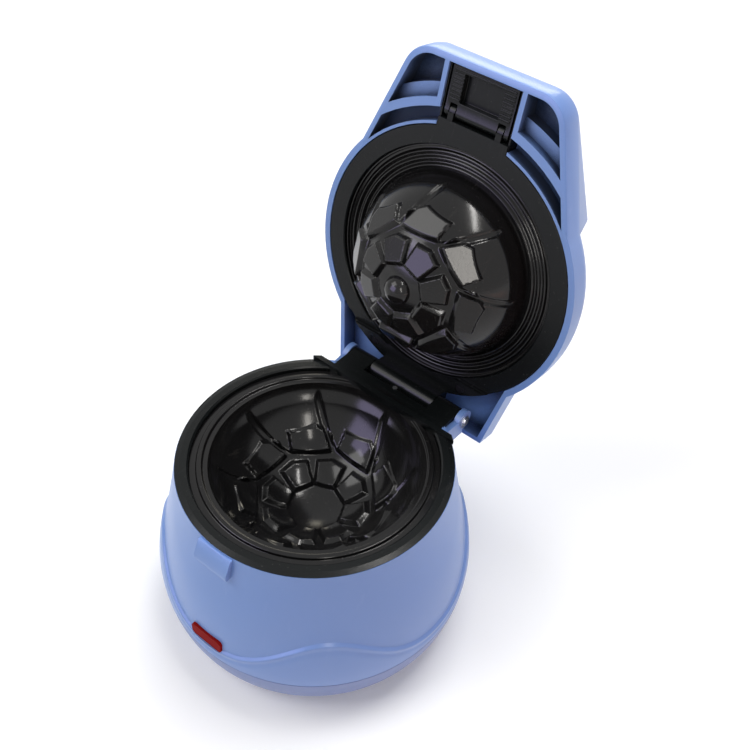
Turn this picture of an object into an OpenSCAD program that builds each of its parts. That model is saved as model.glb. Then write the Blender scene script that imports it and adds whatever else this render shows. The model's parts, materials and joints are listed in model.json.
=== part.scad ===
// Waffle bowl maker: a round pot with a bowl mould in its mouth, and a hinged lid with
// a domed mould, a hollow handle and a fold-away latch. Millimetres, +Z up, front is -Y.
// The origin is on the pot's axis, at the plane that its feet stand on.
// The lid is drawn shut, and lid_place() tips it back to its open rest pose.

/* [Pot] */
// Height of the pot's rim above the table
rim_z = 106; // [96:1:116]
// How far the widest place stands out beyond the top edge
belly_out = 13.8; // [11.4:0.2:16.4]
// Height of the widest place
belly_z = 38; // [34:1:42]
// How far the flat bottom stays inside the widest place
foot_in = 16.4; // [14.4:0.5:20.4]
// Height of the seam between the shell and the bottom cover
seam_z = 31; // [29:0.5:32]
// Wall of the shell and the bottom cover
pot_wall = 2.6; // [2.2:0.1:3]
// Height of the feet below the bottom cover
foot_h = 2; // [1.6:0.1:2.6]
// Radius of a rubber foot
foot_pad_r = 7.5; // [6:0.5:9]
// Distance of the feet from the bottom's edge
foot_edge = 16; // [12:1:18]

/* [Rim] */
// Thickness of the black bezel's flat ring
bezel_t = 3; // [2.6:0.1:3.4]
// Thickness of the lip that covers the shell's top edge
lip_t = 1.2; // [1:0.1:1.5]
// Width of the bezel
bezel_w = 6.6; // [6.2:0.1:7]
// Width of the slope along the bezel's outer edge
bezel_slope = 2.6; // [2:0.1:3]
// How far the straight rear ridge stays inside the bezel's outer edge
ridge_in = 17; // [16.6:0.1:17.6]
// Width of the rear ridge
ridge_w = 2.8; // [2.4:0.1:3]
// Height of the rear ridge above the rim
ridge_h = 1.5; // [1:0.1:1.7]
// Depth of the step behind the rear ridge
step_h = 1.4; // [1.2:0.1:1.8]

/* [Bowl mould] */
// Radius of the bowl at its mouth
bowl_r = 52; // [50:0.2:54]
// Width of the mould's land between its mouth and the bezel
land_w = 9; // [8.6:0.1:9.4]
// Depth of the bowl below its mouth
bowl_d = 40; // [39:0.5:42]
// Depth of the mouth below the rim
mouth_d = 2.6; // [2.4:0.1:3]
// Wall of the bowl
bowl_wall = 3; // [2.5:0.1:3.2]
// Height of the raised pads on both moulds
pad_h = 2; // [1.6:0.1:2.2]

/* [Dome mould] */
// Distance between the two moulds at their mouth
mould_gap = 6; // [5.4:0.2:7]
// Depth of the dome below the lid's plane
dome_d = 36; // [34:0.5:37]
// Wall of the dome
dome_wall = 2.6; // [2.2:0.1:3]
// Radius of the round nub at the dome's tip
nub_r = 6.8; // [6:0.2:7.4]

/* [Lid] */
// Gap between the rim and the shut lid
lid_gap = 0.5; // [0.4:0.05:0.8]
// How far the lid's round band stands out beyond the pot's top edge
band_out = 5.4; // [5:0.1:6]
// Width of the band's edge round the black ring
band_edge = 3.4; // [3:0.1:4]
// Thickness of the lid's black ring
ring_t = 3; // [2.6:0.1:3.2]
// Height of the lid's side wall
side_h = 13; // [12.6:0.1:14]
// Height of the lid's crown above its plane
crown_h = 31; // [28:0.5:34]
// Height of the handle above the lid's plane
handle_h = 15; // [14.2:0.2:17]
// Wall of the lid
lid_wall = 2.6; // [2.2:0.1:3]

/* [Handle] */
// Reach of the handle beyond the round band
handle_reach = 26.8; // [24:0.2:29]
// Radius of the handle's front corners
corner_r = 16; // [13:0.5:17]
// Half width between the centres of the front corners
corner_x = 28; // [27:0.5:29]
// Rise of the handle from its front to its root
root_rise = 14; // [10:0.5:15]
// Half width of the handle where it leaves the band
handle_root_x = 59.4; // [58:0.2:60.6]
// Thickness of the handle's outer wall
handle_wall = 3.2; // [2.8:0.1:3.6]
// Distance from the axis plane to the latch recess's side ribs
rib_x = 19.4; // [19:0.1:20]
// Thickness of each rib
rib_t = 2.4; // [2:0.1:2.8]
// How far the curved wall before the pockets stands out beyond the band
skirt_out = 9; // [8:0.2:10]
// Thickness of the curved wall
skirt_t = 4.2; // [3.6:0.1:4.6]
// Depth of the trough inside the curved wall
trough_d = 8; // [6:0.2:9]
// Depth of the handle's pockets
pocket_d = 11.6; // [10:0.2:12.2]
// Depth of the shelf between a pocket and the curved wall
shelf_d = 5; // [4:0.2:7]
// Width of that shelf
shelf_w = 6; // [5:0.2:8]
// Depth of the recess behind the latch
recess_d = 11; // [10.4:0.1:12]

/* [Hinge] */
// How far the hinge pin stands out beyond the pot's top edge
hinge_out = 3.4; // [3.2:0.1:4]
// Depth of the hinge pin below the rim
hinge_d = 6.7; // [6.4:0.1:7]
// Angle that the lid is tipped back from shut
open_angle = 102; // [95:1:104]
// Radius of the hinge barrels
barrel_r = 5.4; // [5:0.1:5.6]
// Half length of the lid's middle barrel
barrel_x = 20.2; // [19:0.2:21]
// Radius of the hinge pin
hinge_pin_r = 2; // [1.6:0.1:2.4]
// Running clearance round the pins
pin_fit = 0.05; // [0.03:0.01:0.08]
// Gap between barrels along a pin
side_gap = 0.4; // [0.3:0.05:0.6]
// Inner face of the shell's rear ears
ear_x = 35.4; // [34.6:0.2:35.8]
// Thickness of the shell's rear ears
ear_t = 3; // [2.6:0.1:3.2]
// Radius of the ears' round ends
ear_r = 6.2; // [6:0.1:6.4]

/* [Lid tail] */
// Reach of the tail beyond the hinge pin
tail_reach = 13; // [12:0.2:14]
// Half width of the tail at its rear
tail_x = 47.4; // [46:0.2:48.6]
// Half width of the tail where it meets the band
tail_root_x = 54.4; // [53:0.2:55.6]
// Wall of the tail
tail_wall = 2.4; // [2:0.1:2.6]

/* [Latch] */
// Distance from the pot's top edge out to the latch pin
latch_out = 7; // [6.8:0.1:7.4]
// Height of the latch pin above the lid's plane
latch_z = 3.9; // [3.8:0.1:4.2]
// Radius of the latch pin
latch_pin_r = 1.25; // [1.1:0.05:1.4]
// Radius of the latch's knuckles
latch_barrel_r = 3; // [2.8:0.1:3.1]
// Half width of the latch
latch_x = 17.4; // [16.6:0.2:18]
// Length of the latch from its pin to its tip
latch_l = 21.4; // [21:0.1:21.8]
// Thickness of the latch
latch_t = 4.6; // [4.2:0.1:5]
// Half width of the catch on the pot
catch_x = 10; // [9:0.2:10.4]
// Distance from the rim down to the catch's lower edge
catch_d = 13.6; // [13:0.1:14]
// How far the catch stands out from the pot's top edge
catch_out = 5; // [4.6:0.1:5.2]
// Room between the latch's hook and the catch
catch_gap = 0.7; // [0.6:0.05:1]

/* [Indicator] */
// Width of the indicator window
window_w = 19.6; // [18:0.2:21]
// Height of the indicator window
window_h = 8.6; // [8:0.2:10]
// Corner radius of the window
window_r = 2.6; // [2:0.1:3]
// Height of the window's middle above the table
window_z = 43; // [42:0.5:46]

/* [Inside] */
// Radius of the tube heaters
heater_r = 3.2; // [2.8:0.1:3.4]
// Room between the bowl's mouth and the reflector round it
reflector_out = 6; // [5.6:0.1:6.4]
// Sheet thickness of the reflectors
sheet_t = 0.8; // [0.6:0.1:1]
// Distance of the screw posts' axes inside the pot's top edge
post_in = 4.6; // [4.2:0.1:4.8]
// Radius of a screw post
post_r = 3.8; // [3.6:0.1:4]
// Radius of a case screw
screw_r = 1.5; // [1.3:0.1:1.7]
// Radius of a mould screw
mould_screw_r = 1.2; // [1:0.1:1.3]
// Height of the cord inlet above the table
inlet_z = 42; // [40:0.5:46]
// Outer radius of the cord inlet
inlet_r = 6; // [5.5:0.1:7]
// Radius of the hole in the cord inlet
inlet_hole_r = 3.2; // [2.8:0.1:3.6]

/* [Hidden] */
$fn = 96;
EPS = 0.01;
SEAT = 0.02;
BIG = 400;
PROFILE_STEPS = 14;
PAD_COUNT = 8;

bezel_in_r = bowl_r + land_w;
neck_r = bezel_in_r + bezel_w;
belly_r = neck_r + belly_out;
foot_r = belly_r - foot_in;
foot_ring_r = foot_r - foot_edge;
ridge_y = neck_r - ridge_in;
dome_r = bowl_r - mould_gap;
band_r = neck_r + band_out;
ring_r = band_r - band_edge;
handle_y = band_r + handle_reach;
handle_root_y = sqrt(band_r * band_r - handle_root_x * handle_root_x) - 0.6;
skirt_r = band_r + skirt_out;
hinge_y = neck_r + hinge_out;
tail_y = hinge_y + tail_reach;
tail_root_y = sqrt(band_r * band_r - tail_root_x * tail_root_x) - 2.9;
latch_y = neck_r + latch_out;
catch_y = neck_r + catch_out;
reflector_r = bowl_r + reflector_out;
post_ring_r = neck_r - post_in;
lid_z = rim_z + lid_gap;
hinge_z = rim_z - hinge_d;
bowl_ball_r = (bowl_r * bowl_r + bowl_d * bowl_d) / (2 * bowl_d);
bowl_ball_z = rim_z - mouth_d - bowl_d + bowl_ball_r;
dome_ball_r = (dome_r * dome_r + dome_d * dome_d) / (2 * dome_d);
dome_ball_z = lid_z - dome_d + dome_ball_r;
flange_t = 2;
nub_in = 1.8;
bowl_flange_r = bezel_in_r + 3;
bowl_flange_z = rim_z - bezel_t - SEAT - flange_t;
ring_in_r = bezel_in_r - 0.8;
dome_flange_r = ring_in_r + 3;
dome_flange_z = lid_z + ring_t + SEAT;
seam_gap = 0.3;
crown_z = side_h - 4;
notch_d = 12.5;
notch_z = rim_z - notch_d;
notch_y = neck_r - 15.6;
shelf_y = neck_r - 1.6;
bracket_y = hinge_y - 11;
ring_screw_x = 28;
ring_screw_l = 5;
knuckle_w = ear_x - barrel_x - 2 * side_gap;
cover_lip_h = 4;
shelf_t = 2.6;
heater_tilt = 47;
post_top = bowl_flange_z - sheet_t - 2 * SEAT;
cover_floor = foot_h + pot_wall;
head_r = 2 * screw_r;
head_h = 1.4;
reflector_floor = bowl_ball_z - bowl_ball_r - bowl_wall - 6.4;
reflector_floor_r = bowl_r - 18;
reflector_knee_h = 16;
leg_drop = 6;
cover_rise = 4;
leg_x = 8;
leg_r = heater_r * 0.7;
bowl_reach = bowl_ball_r + bowl_wall + heater_r + 0.15;
dome_reach = dome_ball_r - dome_wall - heater_r - 0.15;
terminal_w = 28;
terminal_d = 12;
terminal_h = 13;
terminal_y = 34;
thermostat_h = bowl_ball_z - bowl_ball_r - bowl_wall - reflector_floor - sheet_t - 2 * SEAT;
thermostat_r = 7;
window_t = 3;
window_y = pot_r(window_z);
latch_hook = latch_z + lid_gap + catch_d + catch_gap;
rib_drop = lid_gap + step_h - 0.4;
latch_root = latch_barrel_r + 1.2;
lug_x0 = 11.6;
lug_x1 = 14.6;
case_post_angles = [45, 135, 225, 315];
mould_screw_angles = [0, 90, 180, 270];

// Share of the way from the belly to the rim at height z
function neck_share(z) = (z - belly_z) / (rim_z - belly_z);

// Outer radius of the pot at height z: a round bowl below the belly, an ease above it
function pot_r(z) = z < belly_z
    ? foot_r + (belly_r - foot_r) * sqrt(max(0, 1 - pow((belly_z - z) / (belly_z - foot_h), 2)))
    : belly_r - (belly_r - neck_r) * (0.5 * pow(neck_share(z), 1.5)
        + 0.25 * (1 - cos(180 * neck_share(z))));

// Points of the pot's outline from height a to height b, moved inwards by d
function pot_line(a, b, d) =
    [for (i = [0 : PROFILE_STEPS]) let (z = a + (b - a) * i / PROFILE_STEPS) [pot_r(z) - d, z]];

// Distance from the axis plane to the legs of a heater whose tube runs at this reach
function leg_y(reach) = sqrt(pow(reach * cos(heater_tilt), 2) - leg_x * leg_x);

function reversed(list) = [for (i = [len(list) - 1 : -1 : 0]) list[i]];

module x_rod(r, x0, x1) {
    translate([x0, 0, 0]) rotate([0, 90, 0]) cylinder(r = r, h = x1 - x0);
}

module both_sides() {
    children();
    mirror([1, 0, 0]) children();
}

module round_box(w, h, r, d) {
    // A plate in the XZ plane with round corners, d deep along +Y
    rotate([90, 0, 0]) translate([0, 0, -d]) linear_extrude(d) {
        square([w - 2 * r, h], center = true);
        square([w, h - 2 * r], center = true);
        for (sx = [-1, 1], sz = [-1, 1])
            translate([sx * (w / 2 - r), sz * (h / 2 - r)]) circle(r);
    }
}

// Tips the lid back from shut about the hinge pin
module lid_place() {
    translate([0, hinge_y, hinge_z]) rotate([-open_angle, 0, 0])
        translate([0, -hinge_y, -hinge_z]) children();
}

// ---- Pot ----

module base_shell() {
    color("#8FA3D9") difference() {
        union() {
            rotate_extrude() polygon(concat(
                pot_line(seam_z + seam_gap, rim_z - lip_t - SEAT, 0),
                reversed(pot_line(seam_z + seam_gap, rim_z - lip_t - SEAT, pot_wall))));
            intersection() {
                for (a = case_post_angles) rotate(a) translate([post_ring_r, 0, seam_z - 2 * cover_lip_h])
                    cylinder(r = post_r, h = post_top - seam_z + 8);
                rotate_extrude() polygon(concat([[0, seam_z - 2 * cover_lip_h], [0, rim_z - bezel_t]],
                    reversed(pot_line(seam_z - 2 * cover_lip_h, rim_z - bezel_t, pot_wall + 0.4))));
            }
            for (a = case_post_angles) rotate(a) intersection() {
                translate([post_ring_r, -1, seam_z + 20]) cube([20, 2, post_top - seam_z - 20]);
                rotate_extrude() polygon(concat([[0, seam_z], [0, rim_z - bezel_t]],
                    reversed(pot_line(seam_z, rim_z - bezel_t, pot_wall / 2))));
            }
            // Catch for the latch, a wedge that the latch's hook snaps over
            translate([-catch_x, 0, rim_z]) rotate([90, 0, 90]) linear_extrude(2 * catch_x)
                polygon([[1.6 - neck_r, -lip_t - 0.8], [-neck_r - 0.9, -lip_t - 0.8],
                    [-neck_r - 1.4, -lip_t - 1.3], [-catch_y, -catch_d + 3.4], [-catch_y, -catch_d + 0.6],
                    [0.6 - catch_y, -catch_d], [1.6 - neck_r, -catch_d]]);
            // Shelf and ears of the hinge housing
            difference() {
                union() {
                    translate([-ear_x - ear_t, notch_y + 2, notch_z - shelf_t])
                        cube([2 * (ear_x + ear_t), shelf_y - notch_y - 2, shelf_t]);
                    both_sides() translate([ear_x, notch_y + 2, notch_z - shelf_t])
                        cube([ear_t, hinge_y - notch_y - 2, hinge_z - notch_z + shelf_t + 3]);
                    both_sides() translate([0, hinge_y, hinge_z]) x_rod(ear_r, ear_x, ear_x + ear_t);
                }
                translate([0, 0, notch_z - BIG / 2]) cylinder(r = neck_r - pot_wall / 2, h = BIG);
            }
        }
        // Opening for the hinge
        translate([-ear_x, notch_y, notch_z]) cube([2 * ear_x, BIG, BIG]);
        // Hinge pin bores in the ears
        translate([0, hinge_y, hinge_z]) x_rod(hinge_pin_r + pin_fit, -BIG / 2, BIG / 2);
        // Window of the indicator
        translate([0, -window_y - 5, window_z]) round_box(window_w, window_h, window_r, 12);
        // Hole of the cord inlet
        translate([0, pot_r(inlet_z) - 12, inlet_z]) rotate([-90, 0, 0])
            cylinder(r = inlet_r + pin_fit, h = 30);
        // Pilot holes of the case screws
        for (a = case_post_angles) rotate(a) translate([post_ring_r, 0, 0])
            cylinder(r = screw_r + pin_fit, h = seam_z + 14);
        // Notches beside the catch
        both_sides() translate([catch_x + 0.2, -catch_y, rim_z - 4])
            cube([1.6, catch_y - neck_r + 1.4, 10]);
    }
}

module bottom_cover() {
    color("#8496CC") difference() {
        union() {
            rotate_extrude() polygon(concat(
                [[0, foot_h], [foot_r, foot_h]],
                pot_line(foot_h + 0.2, seam_z, 0),
                reversed(pot_line(foot_h + pot_wall, seam_z, pot_wall)),
                [[0, cover_floor]]));
            // Lip inside the shell
            rotate_extrude() polygon(concat(
                pot_line(seam_z - cover_lip_h, seam_z + 3, pot_wall + 0.3),
                reversed(pot_line(seam_z - cover_lip_h, seam_z + 3, pot_wall + 1.6))));
            // Joins the lip to the cover's wall
            rotate_extrude() polygon(concat(
                pot_line(seam_z - cover_lip_h, seam_z, pot_wall / 2),
                reversed(pot_line(seam_z - cover_lip_h, seam_z, pot_wall + 1))));
            for (a = case_post_angles) rotate(a) translate([post_ring_r, 0, cover_floor - 1])
                intersection() {
                    cylinder(r = post_r, h = seam_z - 2 * cover_lip_h - SEAT - cover_floor + 1);
                    translate([-post_ring_r, 0, 1 - cover_floor])
                        cylinder(r = pot_r(cover_floor + 3), h = BIG);
                }
        }
        for (a = case_post_angles) rotate(a) translate([post_ring_r, 0, 0]) {
            cylinder(r = screw_r + pin_fit, h = BIG, center = true);
            cylinder(r = head_r + pin_fit, h = cover_floor + head_h + 1.2);
        }
    }
}

module rubber_foot() {
    cylinder(r1 = foot_pad_r - 0.8, r2 = foot_pad_r, h = 0.8);
    translate([0, 0, 0.8]) cylinder(r = foot_pad_r, h = foot_h - 0.8);
}

// Four feet under the screw posts, and one under the middle that keeps the cover from sagging
module rubber_feet() {
    color("#232327") {
        for (a = case_post_angles) rotate(a) translate([foot_ring_r, 0, 0]) rubber_foot();
        rubber_foot();
    }
}

module rim_bezel() {
    bracket_y0 = ridge_y + ridge_w;
    color("#1B1B1E") difference() {
        union() {
            difference() {
                rotate_extrude() polygon([[bezel_in_r, rim_z - bezel_t], [bezel_in_r, rim_z - 0.8],
                    [bezel_in_r + 0.8, rim_z], [neck_r - bezel_slope, rim_z], [neck_r, rim_z - 0.8],
                    [neck_r, rim_z - lip_t], [neck_r - pot_wall - 0.2, rim_z - lip_t],
                    [neck_r - pot_wall - 0.2, rim_z - bezel_t]]);
                translate([-BIG / 2, bracket_y0, rim_z - step_h]) cube([BIG, BIG, BIG]);
                translate([-ear_x + 0.3, shelf_y - 4, notch_z]) cube([2 * ear_x - 0.6, BIG, BIG]);
            }
            intersection() {
                translate([-BIG / 2, ridge_y, rim_z - lip_t]) cube([BIG, ridge_w, lip_t + ridge_h]);
                cylinder(r = neck_r + 0.6, h = BIG);
            }
            intersection() {
                translate([-BIG / 2, ridge_y, rim_z - bezel_t]) cube([BIG, ridge_w, bezel_t]);
                cylinder(r = neck_r - pot_wall - 0.2, h = BIG);
            }
            // Hinge bracket behind the ridge
            translate([-ear_x + 0.3, bezel_in_r - 2.6, notch_z + SEAT])
                cube([2 * ear_x - 0.6, 2.2, rim_z - step_h - notch_z]);
            translate([-ear_x + 0.3, bracket_y0 - 1, rim_z - bezel_t])
                cube([2 * ear_x - 0.6, hinge_y - 8 - bracket_y0, bezel_t - step_h]);
            both_sides() {
                translate([barrel_x + side_gap, bracket_y, hinge_z - 3])
                    cube([knuckle_w, hinge_y - bracket_y, rim_z - step_h - hinge_z + 3]);
                translate([0, hinge_y, hinge_z])
                    x_rod(barrel_r, barrel_x + side_gap, barrel_x + side_gap + knuckle_w);
            }
        }
        // Room for the bowl mould's flange below the bezel
        translate([0, 0, bowl_flange_z - BIG]) cylinder(r = bowl_flange_r + 0.2, h = BIG + flange_t + SEAT);
        translate([0, hinge_y, hinge_z]) x_rod(hinge_pin_r + pin_fit, -BIG / 2, BIG / 2);
        for (a = mould_screw_angles) rotate(a) translate([bowl_flange_r - 1.4, 0, rim_z - bezel_t - 1])
            cylinder(r = mould_screw_r + pin_fit, h = bezel_t);
    }
}

// A point at radius r and angle a
function polar(r, a) = [r * cos(a), r * sin(a)];

// All pads of one mould, seen along the axis: small inner ones, and outer ones leaning one way
module pad_outlines(scale_r) {
    inner = [polar(14.2, -15.5), polar(22.6, -13.5), polar(23.6, 0), polar(22.6, 13.5), polar(14.2, 15.5)];
    outer = [polar(29.4, -16.5), polar(33.4, -15.5), polar(36.2, -4), polar(35.2, 16), polar(30.2, 17.5)];
    for (i = [0 : PAD_COUNT - 1]) rotate(i * 360 / PAD_COUNT) {
        rotate(180 / PAD_COUNT) polygon(scale_r * inner);
        polygon(scale_r * outer);
    }
}

module bowl_mould() {
    color("#202023") {
        difference() {
            union() {
                intersection() {
                    translate([0, 0, bowl_ball_z]) sphere(bowl_ball_r + bowl_wall);
                    translate([0, 0, rim_z - mouth_d - BIG]) cylinder(r = BIG / 2, h = BIG);
                }
                rotate_extrude() polygon([[bowl_r - 1, rim_z - mouth_d], [bowl_r + 2.4, rim_z - mouth_d],
                    [bowl_r + 2.8, rim_z - mouth_d + 1.5], [bowl_r + 5.2, rim_z - mouth_d + 1.5],
                    [bowl_r + 5.6, rim_z - mouth_d], [bezel_in_r - 0.2, rim_z - mouth_d],
                    [bezel_in_r - 0.2, rim_z - bezel_t - SEAT], [bowl_flange_r, rim_z - bezel_t - SEAT],
                    [bowl_flange_r, bowl_flange_z], [bowl_r - 1, bowl_flange_z]]);
            }
            difference() {
                translate([0, 0, bowl_ball_z]) sphere(bowl_ball_r);
                // Pads stand proud of the bowl's inner face
                intersection() {
                    difference() {
                        translate([0, 0, bowl_ball_z]) sphere(bowl_ball_r + 1);
                        translate([0, 0, bowl_ball_z]) sphere(bowl_ball_r - pad_h);
                    }
                    linear_extrude(rim_z - mouth_d - 6) pad_outlines(bowl_r / 46.4);
                }
            }
            translate([0, 0, rim_z - mouth_d + EPS]) cylinder(r = bowl_r + 0.6, h = BIG);
            for (a = mould_screw_angles) rotate(a) translate([bowl_flange_r - 1.4, 0, 0])
                cylinder(r = mould_screw_r + pin_fit, h = BIG);
            // Straight seat of the bezel's rear ridge
            translate([-BIG / 2, ridge_y - 0.2, rim_z - bezel_t - SEAT]) cube([BIG, BIG, BIG]);
        }
    }
}

module tube_ring(ball_r, ball_z, side) {
    reach = ball_r + side * (heater_r + 0.15);
    translate([0, 0, ball_z - reach * sin(heater_tilt)]) rotate_extrude()
        translate([reach * cos(heater_tilt), 0]) circle(heater_r, $fn = 32);
}

module bowl_heater() {
    color("#9A9A98") {
        tube_ring(bowl_ball_r + bowl_wall, bowl_ball_z, 1);
        both_sides() translate([leg_x, leg_y(bowl_reach), reflector_floor - leg_drop])
            cylinder(r = leg_r,
                h = bowl_ball_z - bowl_reach * sin(heater_tilt) - reflector_floor + leg_drop);
    }
}

module bowl_reflector() {
    top = bowl_flange_z - SEAT;
    knee = reflector_floor + reflector_knee_h;
    color("#C4C6C8") difference() {
        rotate_extrude() polygon([[0, reflector_floor], [reflector_floor_r, reflector_floor],
            [reflector_r, knee], [reflector_r, top - sheet_t], [bowl_flange_r, top - sheet_t],
            [bowl_flange_r, top],
            [reflector_r - sheet_t, top], [reflector_r - sheet_t, knee + 0.4],
            [reflector_floor_r - 0.4, reflector_floor + sheet_t], [0, reflector_floor + sheet_t]]);
        both_sides() translate([leg_x, leg_y(bowl_reach), 0]) cylinder(r = leg_r + 1.8, h = rim_z - 30);
        for (a = mould_screw_angles) rotate(a) translate([bowl_flange_r - 1.4, 0, 0])
            cylinder(r = mould_screw_r + pin_fit, h = BIG);
    }
}

module thermostat() {
    color("#D8D3C4") {
        translate([0, 0, reflector_floor + sheet_t + SEAT]) cylinder(r = thermostat_r, h = thermostat_h);
        both_sides() translate([thermostat_r - 1, -1.5, reflector_floor + sheet_t + SEAT])
            cube([6, 3, 0.8]);
    }
}

module thermal_fuse() {
    color("#C9A36A") translate([0, 18, reflector_floor - 2.2 - SEAT]) {
        x_rod(2.2, -7, 7);
        x_rod(0.5, -13, 13);
    }
}

module terminal_block() {
    color("#E6E2D6") difference() {
        translate([-terminal_w / 2, terminal_y, cover_floor + SEAT])
            cube([terminal_w, terminal_d, terminal_h]);
        for (i = [-1 : 1]) translate([i * terminal_w * 0.3, terminal_y - 1, cover_floor + terminal_h / 2])
            rotate([-90, 0, 0]) cylinder(r = terminal_w * 0.08, h = terminal_d + 2);
    }
}

module cord_inlet() {
    y0 = pot_r(inlet_z) - 6;
    color("#2B2B2F") difference() {
        translate([0, 0, inlet_z]) rotate([-90, 0, 0]) {
            translate([0, 0, y0]) cylinder(r = inlet_r, h = 8);
            translate([0, 0, y0]) cylinder(r = inlet_r + 1.6, h = 6 - pot_wall - 1.8);
            translate([0, 0, y0 + 6.6]) cylinder(r1 = inlet_r + 1.4, r2 = inlet_r + 0.8, h = 1.4);
        }
        translate([0, 0, inlet_z]) rotate([-90, 0, 0]) cylinder(r = inlet_hole_r, h = BIG);
    }
}

module indicator_window() {
    color("#C43018") translate([0, 0.6 - window_y, window_z])
        round_box(window_w - 0.3, window_h - 0.3, window_r - 0.15, window_t - 0.6);
}

module lamp_holder() {
    y1 = -window_y + window_t + SEAT;
    color("#ECE8DA") difference() {
        translate([0, y1 + 2.5, window_z]) cube([window_w - 4.6, 5, window_h - 1], center = true);
        translate([0, y1 + 2.5, window_z]) x_rod(2.6, -6, 6);
    }
}

module indicator_lamp() {
    color("#F0A060") translate([0, -window_y + window_t + SEAT + 2.5, window_z]) x_rod(2.5, -5.5, 5.5);
}

module case_screws() {
    color("#B8B8B4") for (a = case_post_angles) rotate(a) translate([post_ring_r, 0, 0]) {
        translate([0, 0, cover_floor + 1.2]) {
            cylinder(r = screw_r, h = seam_z + 12 - cover_floor - 1.2);
            cylinder(r = head_r - 0.1, h = head_h);
        }
    }
}

module bowl_screws() {
    head_z = bowl_flange_z - sheet_t - 3 * SEAT - head_h;
    color("#B8B8B4") for (a = mould_screw_angles) rotate(a) translate([bowl_flange_r - 1.4, 0, head_z]) {
        cylinder(r = 2 * mould_screw_r, h = head_h);
        cylinder(r = mould_screw_r, h = rim_z - 1.2 - head_z);
    }
}

module hinge_pin() {
    color("#C9CACC") translate([0, hinge_y, hinge_z])
        x_rod(hinge_pin_r, -ear_x - ear_t - 1.6, ear_x + ear_t + 1.6);
}

module hinge_clips() {
    color("#A9AAAC") both_sides() translate([0, hinge_y, hinge_z]) difference() {
        x_rod(hinge_pin_r + 1.5, ear_x + ear_t + SEAT, ear_x + ear_t + 0.9);
        x_rod(hinge_pin_r + 0.02, ear_x, ear_x + ear_t + 2);
    }
}

// ---- Lid, drawn shut ----

// Plan of the handle, moved inwards by d
module handle_plan(d) {
    hull() {
        translate([-handle_root_x + d, -handle_root_y]) square([2 * (handle_root_x - d), 1]);
        for (sx = [-1, 1]) translate([sx * corner_x, corner_r - handle_y]) circle(corner_r - d, $fn = 48);
    }
}

module tail_plan(d) {
    y0 = tail_root_y - 17;
    polygon([[-tail_root_x + d, y0], [-tail_root_x + d, tail_root_y], [-tail_x + d, tail_y - d],
        [tail_x - d, tail_y - d], [tail_root_x - d, tail_root_y], [tail_root_x - d, y0]]);
}

module lid_crown(d) {
    r = band_r - d;
    steps = 16;
    rise = crown_h - d - crown_z;
    rotate_extrude() polygon(concat([[0, lid_z + crown_z]],
        [for (i = [0 : steps]) let (a = 90 * i / steps)
            [r * pow(cos(a), 0.7), lid_z + crown_z + rise * sin(a)]]));
}

module lid_shell() {
    color("#8FA3D9") difference() {
        union() {
            translate([0, 0, lid_z]) cylinder(r = band_r, h = crown_z);
            lid_crown(0);
            // Handle, rounded along its top edge and rising towards the crown
            translate([0, 0, lid_z]) hull() {
                linear_extrude(handle_h - 1) handle_plan(1.4);
                translate([0, 0, 0.4]) linear_extrude(handle_h - 2.4) handle_plan(0.4);
                translate([0, 0, 1.4]) linear_extrude(handle_h - 6) handle_plan(0);
                linear_extrude(handle_h) handle_plan(4.5);
                translate([5 - handle_root_x, -handle_root_y, 0])
                    cube([2 * (handle_root_x - 5), 1, handle_h + root_rise]);
                translate([0, -18, 0]) cylinder(r = 26, h = crown_h - 3, $fn = 48);
            }
            translate([0, 0, lid_z]) linear_extrude(side_h - 1) tail_plan(0);
        }
        // Inside of the round part
        translate([0, 0, lid_z - 1]) cylinder(r = ring_r + 0.2, h = ring_t + 1.3);
        translate([0, 0, lid_z]) cylinder(r = ring_r - 1, h = crown_z + EPS);
        lid_crown(lid_wall);
        // Tail
        difference() {
            translate([0, 0, lid_z - 1]) linear_extrude(side_h - tail_wall) tail_plan(tail_wall);
            translate([0, 0, lid_z - 2]) cylinder(r = ring_r, h = BIG);
        }
        translate([3.6 - tail_x, ridge_y - 4.6, lid_z - 1]) cube([2 * tail_x - 7.2, 30, ring_t + 1.3]);
        // Latch recess
        translate([-rib_x, -handle_y + handle_wall, lid_z - 1]) cube([2 * rib_x, 31, recess_d + 1]);
        // Trough between the ring and the curved wall
        intersection() {
            difference() {
                translate([0, 0, lid_z - 1]) cylinder(r = skirt_r - skirt_t, h = trough_d + 1);
                translate([0, 0, lid_z - 2]) cylinder(r = ring_r + 1.6, h = BIG);
            }
            translate([-BIG / 2, -BIG - handle_root_y - 2, lid_z - 2]) cube([BIG, BIG, BIG]);
            translate([0, 0, lid_z - 2]) linear_extrude(20) handle_plan(handle_wall);
        }
        // Pockets of the handle, each with a shelf beside the curved wall
        for (step = [[shelf_d, 0], [pocket_d, shelf_w]]) difference() {
            translate([0, 0, lid_z - 1]) linear_extrude(step[0] + 1) handle_plan(handle_wall);
            translate([0, 0, lid_z - 2]) cylinder(r = skirt_r + step[1], h = BIG);
            translate([-rib_x - rib_t, -BIG / 2, lid_z - 2]) cube([2 * (rib_x + rib_t), BIG, BIG]);
        }
        // Pilot holes of the ring's screws
        both_sides() translate([ring_screw_x, bracket_y, lid_z])
            cylinder(r = mould_screw_r + pin_fit, h = ring_t + ring_screw_l);
    }
}

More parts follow.
